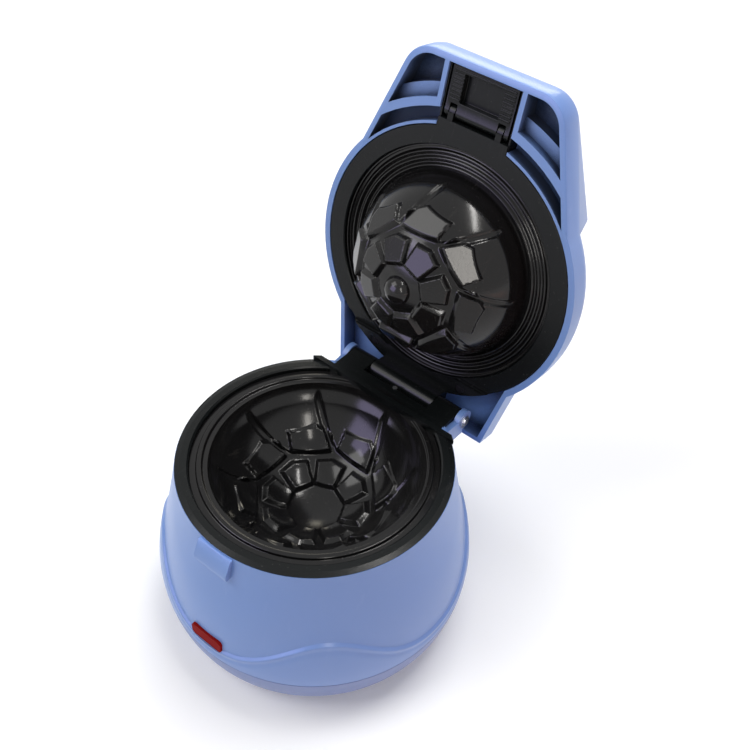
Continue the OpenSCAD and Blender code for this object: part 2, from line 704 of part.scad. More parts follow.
module lid_ring() {
    color("#1B1B1E") difference() {
        union() {
            rotate_extrude() polygon([[ring_in_r, lid_z + 0.5], [ring_in_r + 0.5, lid_z],
                [ring_r - 0.5, lid_z], [ring_r, lid_z + 0.5], [ring_r, lid_z + ring_t],
                [ring_in_r, lid_z + ring_t]]);
            // Straight rib that drops behind the pot's ridge
            intersection() {
                translate([2.6 - tail_x, ridge_y + ridge_w + 1.4, lid_z - rib_drop])
                    cube([2 * tail_x - 5.2, 2.4, rib_drop + 1.5]);
                cylinder(r = ring_r - 1, h = BIG);
            }
            // Plate behind the rib, and the middle barrel
            intersection() {
                translate([2.6 - tail_x, ridge_y + ridge_w + 1.4, lid_z])
                    cube([2 * tail_x - 5.2, 12, ring_t]);
                cylinder(r = ring_r, h = BIG);
            }
            translate([-barrel_x, bracket_y, lid_z]) cube([2 * barrel_x, hinge_y - bracket_y + 3, ring_t]);
            translate([-barrel_x, hinge_y - barrel_r + 0.6, hinge_z])
                cube([2 * barrel_x, 2 * barrel_r - 3, lid_z - hinge_z + 1]);
            translate([0, hinge_y, hinge_z]) x_rod(barrel_r, -barrel_x, barrel_x);
            // Tray that lines the latch's recess
            difference() {
                translate([-rib_x + 0.2, -handle_y + handle_wall + 0.4, lid_z + 1.2])
                    cube([2 * rib_x - 0.4, handle_y - handle_wall - neck_r + 1.6, recess_d - 1.4]);
                translate([-rib_x + 1, -handle_y, lid_z - 1])
                    cube([2 * rib_x - 2, handle_y - neck_r - 1.6, recess_d]);
            }
            // Lugs of the latch
            translate([-rib_x + 0.4, -latch_y + latch_barrel_r + 0.6, lid_z])
                cube([2 * rib_x - 0.8, 6, ring_t]);
            both_sides() {
                translate([lug_x0, -latch_y, lid_z + 0.3]) cube([lug_x1 - lug_x0, 6, ring_t - 0.3]);
                translate([0, -latch_y, lid_z + latch_z]) x_rod(latch_barrel_r, lug_x0, lug_x1);
            }
        }
        // Groove that clears the pot's ridge
        translate([-BIG / 2, ridge_y - 0.5, lid_z - 1]) cube([BIG, ridge_w + 1.4, ridge_h + 1]);
        // Opening of the dome mould
        translate([0, 0, lid_z - 5]) cylinder(r = ring_in_r, h = 5.01);
        translate([0, 0, lid_z - 1]) intersection() {
            cylinder(r = ring_in_r, h = 10);
            translate([-BIG / 2, ridge_y - 0.5 - BIG, 0]) cube([BIG, BIG, BIG]);
        }
        translate([0, 0, lid_z - 1]) cylinder(r = ring_in_r, h = 10);
        translate([0, hinge_y, hinge_z]) x_rod(hinge_pin_r + pin_fit, -BIG / 2, BIG / 2);
        translate([0, -latch_y, lid_z + latch_z]) x_rod(latch_pin_r + 0.02, -BIG / 2, BIG / 2);
        for (a = mould_screw_angles) rotate(a) translate([dome_flange_r - 1.4, 0, lid_z + 0.8])
            cylinder(r = mould_screw_r + pin_fit, h = BIG);
        both_sides() translate([ring_screw_x, bracket_y, lid_z - 2]) {
            cylinder(r = mould_screw_r + pin_fit, h = BIG);
            cylinder(r = 2 * mould_screw_r + 0.2, h = 3.4);
        }
    }
}

module dome_mould() {
    z0 = lid_z;
    color("#1F1F22") difference() {
        union() {
            intersection() {
                translate([0, 0, dome_ball_z]) sphere(dome_ball_r);
                translate([0, 0, z0 - BIG]) cylinder(r = BIG / 2, h = BIG + 4);
            }
            intersection() {
                translate([0, 0, dome_ball_z]) sphere(dome_ball_r + pad_h);
                translate([0, 0, z0 - dome_d - 10]) linear_extrude(dome_d + 4) pad_outlines(dome_r / 46);
            }
            intersection() {
                translate([0, 0, z0 - dome_d + nub_in]) sphere(nub_r);
                translate([0, 0, z0 - dome_d - 20]) cylinder(r = nub_r, h = 26);
            }
            // Ridges and grooves round the dome
            rotate_extrude() polygon([[dome_r - 0.5, z0 + 3.2], [dome_r + 2, z0 + 5], [dome_r + 4, z0 + 5],
                [dome_r + 4.6, z0 + 2.4], [dome_r + 6, z0 + 2.4], [dome_r + 6.6, z0 + 4.4],
                [dome_r + 8.4, z0 + 4.4], [dome_r + 9, z0 + 1.6], [dome_r + 10.6, z0 + 1.6],
                [dome_r + 11.2, z0 + 3.2], [ring_in_r - 1.6, z0 + 3.2], [ring_in_r - 1.4, z0 + 1.7],
                [ring_in_r - 0.2, z0 + 1.7], [ring_in_r - 0.2, dome_flange_z],
                [dome_flange_r, dome_flange_z], [dome_flange_r, dome_flange_z + 2],
                [dome_flange_r - 4.4, dome_flange_z + 2],
                [dome_flange_r - 5, dome_flange_z + 3.4],
                [dome_r - 2.5, dome_flange_z + 3.4], [dome_r - 2.5, z0 + 2]]);
        }
        intersection() {
            translate([0, 0, dome_ball_z]) sphere(dome_ball_r - dome_wall);
            translate([0, 0, z0 - BIG]) cylinder(r = BIG / 2, h = BIG + 20);
        }
        for (a = mould_screw_angles) rotate(a) translate([dome_flange_r - 1.4, 0, lid_z])
            cylinder(r = mould_screw_r + pin_fit, h = BIG);
    }
}

module dome_heater() {
    leg_z = dome_ball_z - dome_reach * sin(heater_tilt);
    color("#9A9A98") {
        tube_ring(dome_ball_r - dome_wall, dome_ball_z, -1);
        both_sides() translate([leg_x, leg_y(dome_reach), leg_z])
            cylinder(r = leg_r, h = lid_z + 12 - leg_z);
    }
}

module dome_reflector() {
    z0 = dome_flange_z + 3.4 + SEAT;
    color("#C4C6C8") difference() {
        rotate_extrude() polygon([[0, z0 + cover_rise], [dome_r - 16, z0 + cover_rise],
            [dome_r - 6, z0], [dome_r + 4, z0], [dome_r + 4, z0 + sheet_t],
            [dome_r - 5.8, z0 + sheet_t], [dome_r - 15.8, z0 + cover_rise + sheet_t],
            [0, z0 + cover_rise + sheet_t]]);
        both_sides() translate([leg_x, leg_y(dome_reach), 0]) cylinder(r = leg_r + 1.8, h = BIG);
    }
}

module dome_screws() {
    top = dome_flange_z + 2 + SEAT;
    color("#B8B8B4") for (a = mould_screw_angles) rotate(a) translate([dome_flange_r - 1.4, 0, 0]) {
        translate([0, 0, top]) cylinder(r = 2 * mould_screw_r, h = head_h);
        translate([0, 0, lid_z + 1]) cylinder(r = mould_screw_r, h = top - lid_z - 0.5);
    }
}

module ring_screws() {
    color("#8E8E8C") both_sides() translate([ring_screw_x, bracket_y, lid_z]) {
        translate([0, 0, 0.2]) cylinder(r = 2 * mould_screw_r, h = 1.2 - SEAT);
        cylinder(r = mould_screw_r, h = ring_t + ring_screw_l - 2 * SEAT);
    }
}

module latch_pin() {
    color("#C9CACC") translate([0, -latch_y, lid_z + latch_z]) x_rod(latch_pin_r, -latch_x, latch_x);
}

module latch_flap() {
    face_z = lid_z + 1.2;
    color("#1B1B1E") difference() {
        union() {
            translate([-latch_x, -latch_y - latch_l, face_z])
                cube([2 * latch_x, latch_l - latch_root, latch_t]);
            // Ribs for the finger along the visible face
            for (i = [0 : 7]) translate([-latch_x + 1, -latch_y - latch_l + 1.2 + i * 1.9, face_z - 0.5])
                cube([2 * latch_x - 2, 0.9, 1]);
            both_sides() {
                translate([lug_x1 + side_gap, -latch_y - latch_root - 1, face_z])
                    cube([latch_x - lug_x1 - side_gap, latch_root + 1, latch_t - 0.4]);
                translate([0, -latch_y, lid_z + latch_z]) x_rod(latch_barrel_r, lug_x1 + side_gap, latch_x);
            }
            translate([-lug_x0 + side_gap, -latch_y - latch_root - 1, face_z])
                cube([2 * (lug_x0 - side_gap), latch_root + 1, latch_t - 0.4]);
            translate([0, -latch_y, lid_z + latch_z])
                x_rod(latch_barrel_r, -lug_x0 + side_gap, lug_x0 - side_gap);
        }
        // Recess that takes the catch, with the hook bar left beyond it
        translate([-catch_x - 0.5, -latch_y - latch_hook, face_z - 2])
            cube([2 * catch_x + 1, latch_hook - latch_root - 1, 5.6]);
        translate([0, -latch_y, lid_z + latch_z]) x_rod(latch_pin_r + pin_fit, -BIG / 2, BIG / 2);
    }
}

base_shell();
bottom_cover();
rubber_feet();
rim_bezel();
bowl_mould();
bowl_heater();
bowl_reflector();
thermostat();
thermal_fuse();
terminal_block();
cord_inlet();
indicator_window();
indicator_lamp();
lamp_holder();
case_screws();
bowl_screws();
hinge_pin();
hinge_clips();
lid_place() lid_shell();
lid_place() lid_ring();
lid_place() dome_mould();
lid_place() dome_heater();
lid_place() dome_reflector();
lid_place() dome_screws();
lid_place() ring_screws();
lid_place() latch_pin();
lid_place() latch_flap();
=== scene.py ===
"""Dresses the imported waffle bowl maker: its pot, lid, moulds, latch and the studio round it.

Lengths are in millimetres and become metres when a mesh is made, apart from the soft boxes and the
finishes, which are in metres. Pieces of the lid are worked out as if it were shut, and Lid.tip()
turns them back to the open rest pose.
"""
from __future__ import annotations

import json
import logging
import math
from dataclasses import dataclass
from enum import Enum
from typing import Sequence, Union

import bmesh
import bpy
import numpy as np
from mathutils import Matrix, Vector


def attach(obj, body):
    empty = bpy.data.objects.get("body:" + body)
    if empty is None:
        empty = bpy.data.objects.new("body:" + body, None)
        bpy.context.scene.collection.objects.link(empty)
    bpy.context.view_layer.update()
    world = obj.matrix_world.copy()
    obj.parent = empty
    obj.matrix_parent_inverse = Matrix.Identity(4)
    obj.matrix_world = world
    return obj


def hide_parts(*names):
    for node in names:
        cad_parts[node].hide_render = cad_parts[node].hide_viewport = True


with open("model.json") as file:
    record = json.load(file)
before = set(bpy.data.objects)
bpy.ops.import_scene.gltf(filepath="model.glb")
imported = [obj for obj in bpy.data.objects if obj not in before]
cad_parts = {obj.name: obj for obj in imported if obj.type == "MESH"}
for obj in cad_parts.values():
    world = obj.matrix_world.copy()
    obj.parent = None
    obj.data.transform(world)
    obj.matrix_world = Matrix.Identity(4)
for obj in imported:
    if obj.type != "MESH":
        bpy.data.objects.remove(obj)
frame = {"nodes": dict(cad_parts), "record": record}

log = logging.getLogger("waffle_maker")
MM = 0.001
FRONT = -math.pi / 2
MOULD_STEPS = 512
EDGE_SEGMENTS = 3
SHUT_SAMPLES = 8
CRISP_DEG = 40.0
FLAT_DEG = 0.6
# In metres: points of a new mesh nearer than MERGE, or of a CAD copy nearer than TINY, become one,
# and edges shorter than TINY go
MERGE, TINY = 2e-6, 1e-6
# Roundings along the moulds' profiles
SOFT, SMALL, TIGHT = 0.5, 0.3, 0.2

Material = bpy.types.Material
Object = bpy.types.Object
Array = np.ndarray
Tree = bpy.types.NodeTree
NodeGroup = bpy.types.ShaderNodeTree
Socket = bpy.types.NodeSocket
Value = Union[Socket, float]
Colour = tuple[float, float, float]
Place = tuple[float, float, float]
Spot = tuple[float, float]


class Body(Enum):
    """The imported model's moving bodies."""

    BASE = "base"
    LID = "lid"
    LATCH = "latch"


@dataclass(frozen=True)
class PotSizes:
    """Sizes of the pot and its mould, in millimetres above the table and from the pot's axis."""

    rim_z: float = 106.0
    neck_r: float = 67.6
    belly_r: float = 81.4
    belly_z: float = 38.0
    foot_r: float = 65.0
    foot_h: float = 2.0
    seam_z: float = 31.0
    seam_gap: float = 0.3
    seam_bevel: float = 0.35
    wall: float = 2.6
    lip_t: float = 1.2
    seat: float = 0.02
    notch_x: float = 35.4
    notch_y: float = 52.0
    notch_d: float = 12.5
    window_z: float = 43.0
    window_w: float = 19.6
    window_h: float = 8.6
    window_round: float = 2.6
    inlet_z: float = 42.0
    inlet_r: float = 6.05
    bezel_in_r: float = 61.0
    bowl_r: float = 52.0
    bowl_d: float = 40.0
    bowl_wall: float = 3.0
    mouth_d: float = 2.6
    ridge_in: float = 2.4
    ridge_w: float = 2.4
    ridge_h: float = 1.5
    ridge_slope: float = 0.4
    flange_t: float = 2.4
    tongue_w: float = 3.0
    tongue_t: float = 1.9
    play: float = 0.2

    def radius(self, z: Array) -> Array:
        """Outer radius at height z: a round bowl below the belly and an ease above it.

        Above the belly, with t the share of the way to the rim, it is the belly's radius less the
        drop to the neck times half of t to the power 1.5 plus a quarter of (1 - cos(pi t)).

        Args:
            z: Heights above the table.

        Returns:
            The radii at those heights.
        """
        low = 1 - np.clip((self.belly_z - z) / (self.belly_z - self.foot_h), 0, 1) ** 2
        t = np.clip((z - self.belly_z) / (self.rim_z - self.belly_z), 0, None)
        high = 0.5 * t ** 1.5 + 0.25 * (1 - np.cos(np.pi * t))
        bowl = self.foot_r + (self.belly_r - self.foot_r) * np.sqrt(low)
        return np.where(z < self.belly_z, bowl, self.belly_r - (self.belly_r - self.neck_r) * high)


@dataclass(frozen=True)
class LidSizes:
    """Sizes of the lid and its mould, in millimetres, with the lid shut."""

    gap: float = 0.5
    hinge_y: float = 71.0
    hinge_d: float = 6.7
    open_deg: float = 102.0
    ring_in_r: float = 60.2
    ring_t: float = 3.0
    seat: float = 0.02
    play: float = 0.2
    dome_r: float = 46.0
    dome_d: float = 36.0
    dome_wall: float = 2.6
    nub_r: float = 7.4
    nub_in: float = 2.4
    foot_w: float = 1.6
    knee_w: float = 0.3
    knee_h: float = 3.0
    knee_round: float = 1.2
    ripples: int = 3
    ripple_z: float = 3.8
    ripple_h: float = 0.8
    ripple_fade: float = 0.2
    ripple_fall: float = 0.8
    brim_w: float = 1.0
    step_w: float = 1.0
    step_z: float = 1.7
    tongue_w: float = 3.0
    tongue_t: float = 2.0
    shoulder: float = 1.0
    crown_t: float = 3.4
    lip_h: float = 1.0
    draft: float = 0.1


POT = PotSizes()
LID = LidSizes()


# ---- meshes


def link_mesh(name: str, mesh: bpy.types.Mesh) -> Object:
    """Puts a mesh into the scene as an object at the origin.

    Args:
        name: The object's name.
        mesh: Its mesh.

    Returns:
        The new object.
    """
    obj = bpy.data.objects.new(name, mesh)
    bpy.context.scene.collection.objects.link(obj)
    return obj


def make_object(name: str, verts: Array, faces: Sequence[Sequence[int]],
                smooth_deg: float = CRISP_DEG) -> Object:
    """Makes an object from points in millimetres and faces.

    Args:
        name: The piece's name.
        verts: Points, one row each, in millimetres.
        faces: Faces, each a row of point numbers.
        smooth_deg: Edges sharper than this stay crisp.

    Returns:
        The new object.
    """
    mesh = bpy.data.meshes.new(name)
    mesh.from_pydata((verts * MM).tolist(), [], faces)
    tidy_mesh(mesh, smooth_deg)
    return link_mesh(name, mesh)


def tidy_mesh(mesh: bpy.types.Mesh, smooth_deg: float = CRISP_DEG) -> None:
    """Merges doubled points, drops empty faces, points the faces outwards and shades them smooth.

    Args:
        mesh: The mesh to change.
        smooth_deg: Edges sharper than this stay crisp.
    """
    bm = bmesh.new()
    bm.from_mesh(mesh)
    bmesh.ops.remove_doubles(bm, verts=bm.verts, dist=MERGE)
    bmesh.ops.dissolve_degenerate(bm, dist=TINY, edges=bm.edges)
    bmesh.ops.recalc_face_normals(bm, faces=bm.faces)
    bm.to_mesh(mesh)
    bm.free()
    mesh.polygons.foreach_set("use_smooth", np.ones(len(mesh.polygons), bool))
    mesh.set_sharp_from_angle(angle=math.radians(smooth_deg))


def grid_faces(rows: int, cols: int, close_rows: bool = False) -> list[list[int]]:
    """Quads of a grid of points, row by row, each row's last point joined to its first.

    Args:
        rows: Number of rows.
        cols: Number of points in a row.
        close_rows: Join the last row to the first.

    Returns:
        Four point numbers for each quad.
    """
    i = np.arange(rows if close_rows else rows - 1)[:, None]
    j = np.arange(cols)[None, :]
    i2, j2 = (i + 1) % rows, (j + 1) % cols
    corners = (i * cols + j, i * cols + j2, i2 * cols + j2, i2 * cols + j)
    return np.stack(np.broadcast_arrays(*corners), -1).reshape(-1, 4).tolist()


def grid_object(name: str, points: Array, smooth_deg: float, close_rows: bool = False) -> Object:
    """Makes an object from a grid of points, each row's last point joined to its first.

    Args:
        name: The piece's name.
        points: Array of rows by columns by three, in millimetres.
        smooth_deg: Edges sharper than this stay crisp.
        close_rows: Join the last row to the first.

    Returns:
        The new object.
    """
    faces = grid_faces(*points.shape[:2], close_rows)
    return make_object(name, points.reshape(-1, 3), faces, smooth_deg)


def rounded_path(corners: Sequence[Place], steps: int = 5, most_share: float = 0.48) -> Array:
    """A path with its corners rounded: each corner becomes an arc of quadratic form.

    Args:
        corners: The corners, each with its two coordinates and its rounding length.
        steps: Points of each arc, less one.
        most_share: The most of a side that one rounding takes up.

    Returns:
        The path's points, two coordinates a row.
    """
    path = []
    t = np.linspace(0, 1, steps + 1)[:, None]
    for k, (a, b, size) in enumerate(corners):
        here = np.array([a, b])
        if size <= 0 or k in (0, len(corners) - 1):
            path.append(here[None])
            continue
        before = np.array(corners[k - 1][:2]) - here
        after = np.array(corners[k + 1][:2]) - here
        cut_back = min(size, np.linalg.norm(before) * most_share, np.linalg.norm(after) * most_share)
        start = here + before / np.linalg.norm(before) * cut_back
        stop = here + after / np.linalg.norm(after) * cut_back
        path.append((1 - t) ** 2 * start + 2 * t * (1 - t) * here + t ** 2 * stop)
    return np.concatenate(path)


def full_turn(steps: int = MOULD_STEPS) -> Array:
    """Angles once round a circle, as one row."""
    return np.linspace(0, 2 * np.pi, steps, endpoint=False)[None, :]


def revolve(profile: Array) -> Array:
    """Turns a profile about the Z axis: every point goes round a circle of its own radius.

    Args:
        profile: Radius and height of each point.

    Returns:
        A grid of points, one row for each profile point.
    """
    angle = full_turn()
    r, z = profile[:, :1], profile[:, 1:2]
    return np.stack([r * np.cos(angle), r * np.sin(angle), z + 0 * angle], -1)


def smooth_step(x: Array) -> Array:
    """Eases from 0 to 1 while x goes from 0 to 1: with t as x kept in there, t t (3 - 2 t)."""
    t = np.clip(x, 0, 1)
    return t * t * (3 - 2 * t)


def polar(radius: float, degrees: float) -> Spot:
    """The point at a radius and an angle."""
    return radius * math.cos(math.radians(degrees)), radius * math.sin(math.radians(degrees))


def rounded_rectangle(width: float, height: float, radius: float, steps: int = 8) -> Array:
    """Outline of a rectangle with round corners, anticlockwise, about its middle.

    Args:
        width: Full width.
        height: Full height.
        radius: Radius of the corners.
        steps: Points of each corner, less one.

    Returns:
        The outline's points.
    """
    t = np.linspace(0, np.pi / 2, steps + 1)
    corners = []
    for k, (sx, sy) in enumerate(((1, 1), (-1, 1), (-1, -1), (1, -1))):
        middle = np.array([sx * (width / 2 - radius), sy * (height / 2 - radius)])
        turn = t + k * np.pi / 2
        corners.append(middle + radius * np.stack([np.cos(turn), np.sin(turn)], -1))
    return np.concatenate(corners)


def slab_object(name: str, outline: Array, y0: float, depth: float, z0: float) -> Object:
    """A straight prism along Y with flat ends.

    Args:
        name: The object's name.
        outline: Its outline in X and Z, anticlockwise.
        y0: Where it starts along Y.
        depth: Its length along Y.
        z0: Height of the outline's middle.

    Returns:
        The new object.
    """
    count = len(outline)
    front = np.stack([outline[:, 0], np.full(count, y0), outline[:, 1] + z0], -1)
    verts = np.concatenate([front, front + [0, depth, 0]])
    ends = [list(range(count)), list(range(2 * count - 1, count - 1, -1))]
    return make_object(name, verts, grid_faces(2, count) + ends)


def cut(obj: Object, cutters: Sequence[Object]) -> None:
    """Cuts blocks out of an object and removes the blocks.

    Args:
        obj: The object to cut.
        cutters: The blocks.
    """
    for cutter in cutters:
        modifier = obj.modifiers.new(cutter.name, "BOOLEAN")
        modifier.operation = "DIFFERENCE"
        modifier.solver = "EXACT"
        modifier.object = cutter
    bpy.context.view_layer.update()
    shape = bpy.data.meshes.new_from_object(obj.evaluated_get(bpy.context.evaluated_depsgraph_get()))
    obj.modifiers.clear()
    obj.data = shape
    for cutter in cutters:
        bpy.data.objects.remove(cutter)
    tidy_mesh(shape)


def softened(node: str, name: str, width: float, angle: float = 32.0,
             most_corners: int = 400) -> Object:
    """A copy of a CAD node with its edges rounded, to stand for the node.

    Args:
        node: The CAD node.
        name: The new piece's name.
        width: Rounding of the edges in millimetres.
        angle: Edges flatter than this many degrees stay as they are.
        most_corners: Faces with more corners than this are cut into triangles first.

    Returns:
        The new object.
    """
    mesh = frame["nodes"][node].data.copy()
    mesh.name = name
    mesh.materials.clear()
    bm = bmesh.new()
    bm.from_mesh(mesh)
    bmesh.ops.remove_doubles(bm, verts=bm.verts, dist=TINY)
    bmesh.ops.dissolve_degenerate(bm, dist=TINY, edges=bm.edges)
    bmesh.ops.dissolve_limit(bm, angle_limit=math.radians(FLAT_DEG), verts=bm.verts, edges=bm.edges)
    bmesh.ops.triangulate(bm, faces=[face for face in bm.faces if len(face.verts) > most_corners])
    bm.to_mesh(mesh)
    bm.free()
    mesh.polygons.foreach_set("use_smooth", np.ones(len(mesh.polygons), bool))
    if "custom_normal" in mesh.attributes:
        mesh.attributes.remove(mesh.attributes["custom_normal"])
    obj = link_mesh(name, mesh)
    bevel = obj.modifiers.new("Rounded edges", "BEVEL")
    bevel.width = width * MM
    bevel.segments = EDGE_SEGMENTS
    bevel.limit_method = "ANGLE"
    bevel.angle_limit = math.radians(angle)
    bevel.use_clamp_overlap = True
    bevel.miter_outer = "MITER_ARC"
    bevel.harden_normals = True
    return obj


@dataclass(frozen=True)
class Ball:
    """The ball whose lowest part is a mould: its cap has a radius and a depth under a plane."""

    cap_r: float
    cap_d: float
    plane: float

    @property
    def radius(self) -> float:
        """The ball's radius, from its cap: (r r + d d) / (2 d)."""
        return (self.cap_r ** 2 + self.cap_d ** 2) / (2 * self.cap_d)

    @property
    def centre(self) -> float:
        """Height of the ball's centre."""
        return self.plane - self.cap_d + self.radius

    @property
    def edge(self) -> float:
        """Polar angle of the cap's edge, from the lowest point."""
        return math.asin(self.cap_r / self.radius)

    def flat_places(self, p: Array, angle: Array) -> tuple[Array, Array]:
        """Where the ball's points lie seen along its axis.

        Args:
            p: Polar angles from the lowest point, as a column.
            angle: Angles round the axis, as a row.

        Returns:
            Their X and their Y.
        """
        reach = self.radius * np.sin(p)
        return reach * np.cos(angle), reach * np.sin(angle)

    def surface(self, r: Array, p: Array, angle: Array) -> Array:
        """Points at distances r from the centre, at polar angles p and angles round the axis.

        Args:
            r: Distances from the centre, as a grid.
            p: Polar angles from the lowest point, as a column.
            angle: Angles round the axis, as a row.

        Returns:
            A grid of points.
        """
        flat = r * np.sin(p)
        height = self.centre - r * np.cos(p) + 0 * angle
        return np.stack([flat * np.cos(angle), flat * np.sin(angle), height], -1)

    def far_side(self, r: float, rows: int) -> Array:
        """A plain ball's surface at distance r from the centre, from the cap's edge to the bottom.

        Args:
            r: The distance.
            rows: Rows of points.

        Returns:
            A grid of points.
        """
        q = np.linspace(self.edge, 0, rows)
        return revolve(np.stack([r * np.sin(q), self.centre - r * np.cos(q)], -1))


# ---- finishes


def new_group(name: str, inputs: dict[str, float], outputs: Sequence[str]) -> NodeGroup:
    """Starts a shader node group with number inputs and number outputs.

    Args:
        name: The group's name.
        inputs: Input names with their default values.
        outputs: Output names.

    Returns:
        The group's node tree, with its input and output nodes in place.
    """
    tree = bpy.data.node_groups.new(name, "ShaderNodeTree")
    for label, value in inputs.items():
        socket = tree.interface.new_socket(label, in_out="INPUT", socket_type="NodeSocketFloat")
        socket.default_value = value
    for label in outputs:
        tree.interface.new_socket(label, in_out="OUTPUT", socket_type="NodeSocketFloat")
    tree.nodes.new("NodeGroupInput").name = "In"
    tree.nodes.new("NodeGroupOutput").name = "Out"
    return tree


def feed(tree: Tree, socket: Socket, value: object) -> None:
    """Links a socket to another one, or gives it a plain value.

    Args:
        tree: The node tree.
        socket: The input to feed.
        value: A socket, a number or a colour.
    """
    if isinstance(value, Socket):
        tree.links.new(value, socket)
    else:
        socket.default_value = value


def math_node(tree: Tree, operation: str, *values: Value) -> Socket:
    """Adds a math node and returns its result.

    Args:
        tree: The node tree.
        operation: The math node's operation.
        *values: Its two or three inputs, each a socket or a number.

    Returns:
        The result socket.
    """
    node = tree.nodes.new("ShaderNodeMath")
    node.operation = operation
    for socket, value in zip(node.inputs, values):
        feed(tree, socket, value)
    return node.outputs[0]


def excess(tree: Tree, value: Value, start: Value, gain: float) -> Socket:
    """How far a value goes beyond a start, times a gain, kept from 0 to 1.

    Args:
        tree: The node tree.
        value: A socket or a number.
        start: Where the result leaves 0.
        gain: How fast it grows from there.

    Returns:
        The result socket.
    """
    raised = math_node(tree, "MULTIPLY", math_node(tree, "SUBTRACT", value, start), gain)
    return math_node(tree, "MINIMUM", math_node(tree, "MAXIMUM", raised, 0.0), 1.0)


def noise_node(tree: Tree, scale: Socket, detail: float, rough: float = 0.5,
               stretch: Place = (1.0, 1.0, 1.0)) -> Socket:
    """Adds noise on object coordinates and returns its value.

    Args:
        tree: The node tree.
        scale: Scale per metre.
        detail: Octaves of the noise.
        rough: Roughness of the octaves.
        stretch: Factors on the coordinates, below 1 to draw the noise out that way.

    Returns:
        The noise value socket, from 0 to 1.
    """
    place = tree.nodes.new("ShaderNodeTexCoord")
    noise = tree.nodes.new("ShaderNodeTexNoise")
    drawn = tree.nodes.new("ShaderNodeVectorMath")
    drawn.operation = "MULTIPLY"
    drawn.inputs[1].default_value = stretch
    tree.links.new(place.outputs["Object"], drawn.inputs[0])
    tree.links.new(drawn.outputs[0], noise.inputs["Vector"])
    tree.links.new(scale, noise.inputs["Scale"])
    noise.inputs["Detail"].default_value = detail
    noise.inputs["Roughness"].default_value = rough
    return noise.outputs["Fac"]


def moulded_grain_group(height: float = 0.8) -> NodeGroup:
    """Fine grain of moulded plastic or coated metal: its height and a slow unevenness.

    Args:
        height: The grain's full height, as a share of the bump's distance.

    Returns:
        The node group.
    """
    tree = new_group("Moulded grain", {"Grain scale": 2600.0, "Uneven scale": 18.0}, ["Height", "Uneven"])
    inputs, outputs = tree.nodes["In"].outputs, tree.nodes["Out"].inputs
    fine = noise_node(tree, inputs["Grain scale"], detail=2.0)
    slow = noise_node(tree, inputs["Uneven scale"], detail=3.0)
    tree.links.new(math_node(tree, "MULTIPLY", fine, height), outputs["Height"])
    tree.links.new(slow, outputs["Uneven"])
    return tree


def scuff_group() -> NodeGroup:
    """Rub marks: thin streaks of stretched noise inside soft patches.

    Returns:
        The node group.
    """
    tree = new_group("Scuffs", {"Patches": 34.0, "Streaks": 420.0}, ["Mask"])
    inputs = tree.nodes["In"].outputs
    patches = noise_node(tree, inputs["Patches"], detail=3.0)
    streaks = noise_node(tree, inputs["Streaks"], detail=2.0, rough=0.7, stretch=(1.0, 0.12, 0.12))
    patch = excess(tree, patches, start=0.52, gain=5.0)
    streak = excess(tree, streaks, start=0.60, gain=7.0)
    tree.links.new(math_node(tree, "MULTIPLY", patch, streak), tree.nodes["Out"].inputs["Mask"])
    return tree


def dust_group(threshold: float = 0.74) -> NodeGroup:
    """Thin dust: sparse specks where fine noise is above a threshold.

    Args:
        threshold: The noise value above which a speck shows.

    Returns:
        The node group.
    """
    tree = new_group("Dust", {"Specks": 900.0}, ["Speck"])
    speck = noise_node(tree, tree.nodes["In"].outputs["Specks"], detail=1.0)
    tree.links.new(math_node(tree, "GREATER_THAN", speck, threshold), tree.nodes["Out"].inputs["Speck"])
    return tree


def recess_group(open_share: float = 0.76, gain: float = 2.5) -> NodeGroup:
    """Painted shade for deep recesses: a mask of how far a spot's own surroundings shut it in, within a
    reach in metres.

    Args:
        open_share: The share of open sky below which a spot counts as shut in.
        gain: How fast the mask grows as the share falls.

    Returns:
        The node group.
    """
    tree = new_group("Recess", {"Reach": 0.02}, ["Mask"])
    shut = tree.nodes.new("ShaderNodeAmbientOcclusion")
    shut.samples = SHUT_SAMPLES
    shut.only_local = True
    tree.links.new(tree.nodes["In"].outputs["Reach"], shut.inputs["Distance"])
    tree.links.new(excess(tree, open_share, shut.outputs["AO"], gain), tree.nodes["Out"].inputs["Mask"])
    return tree


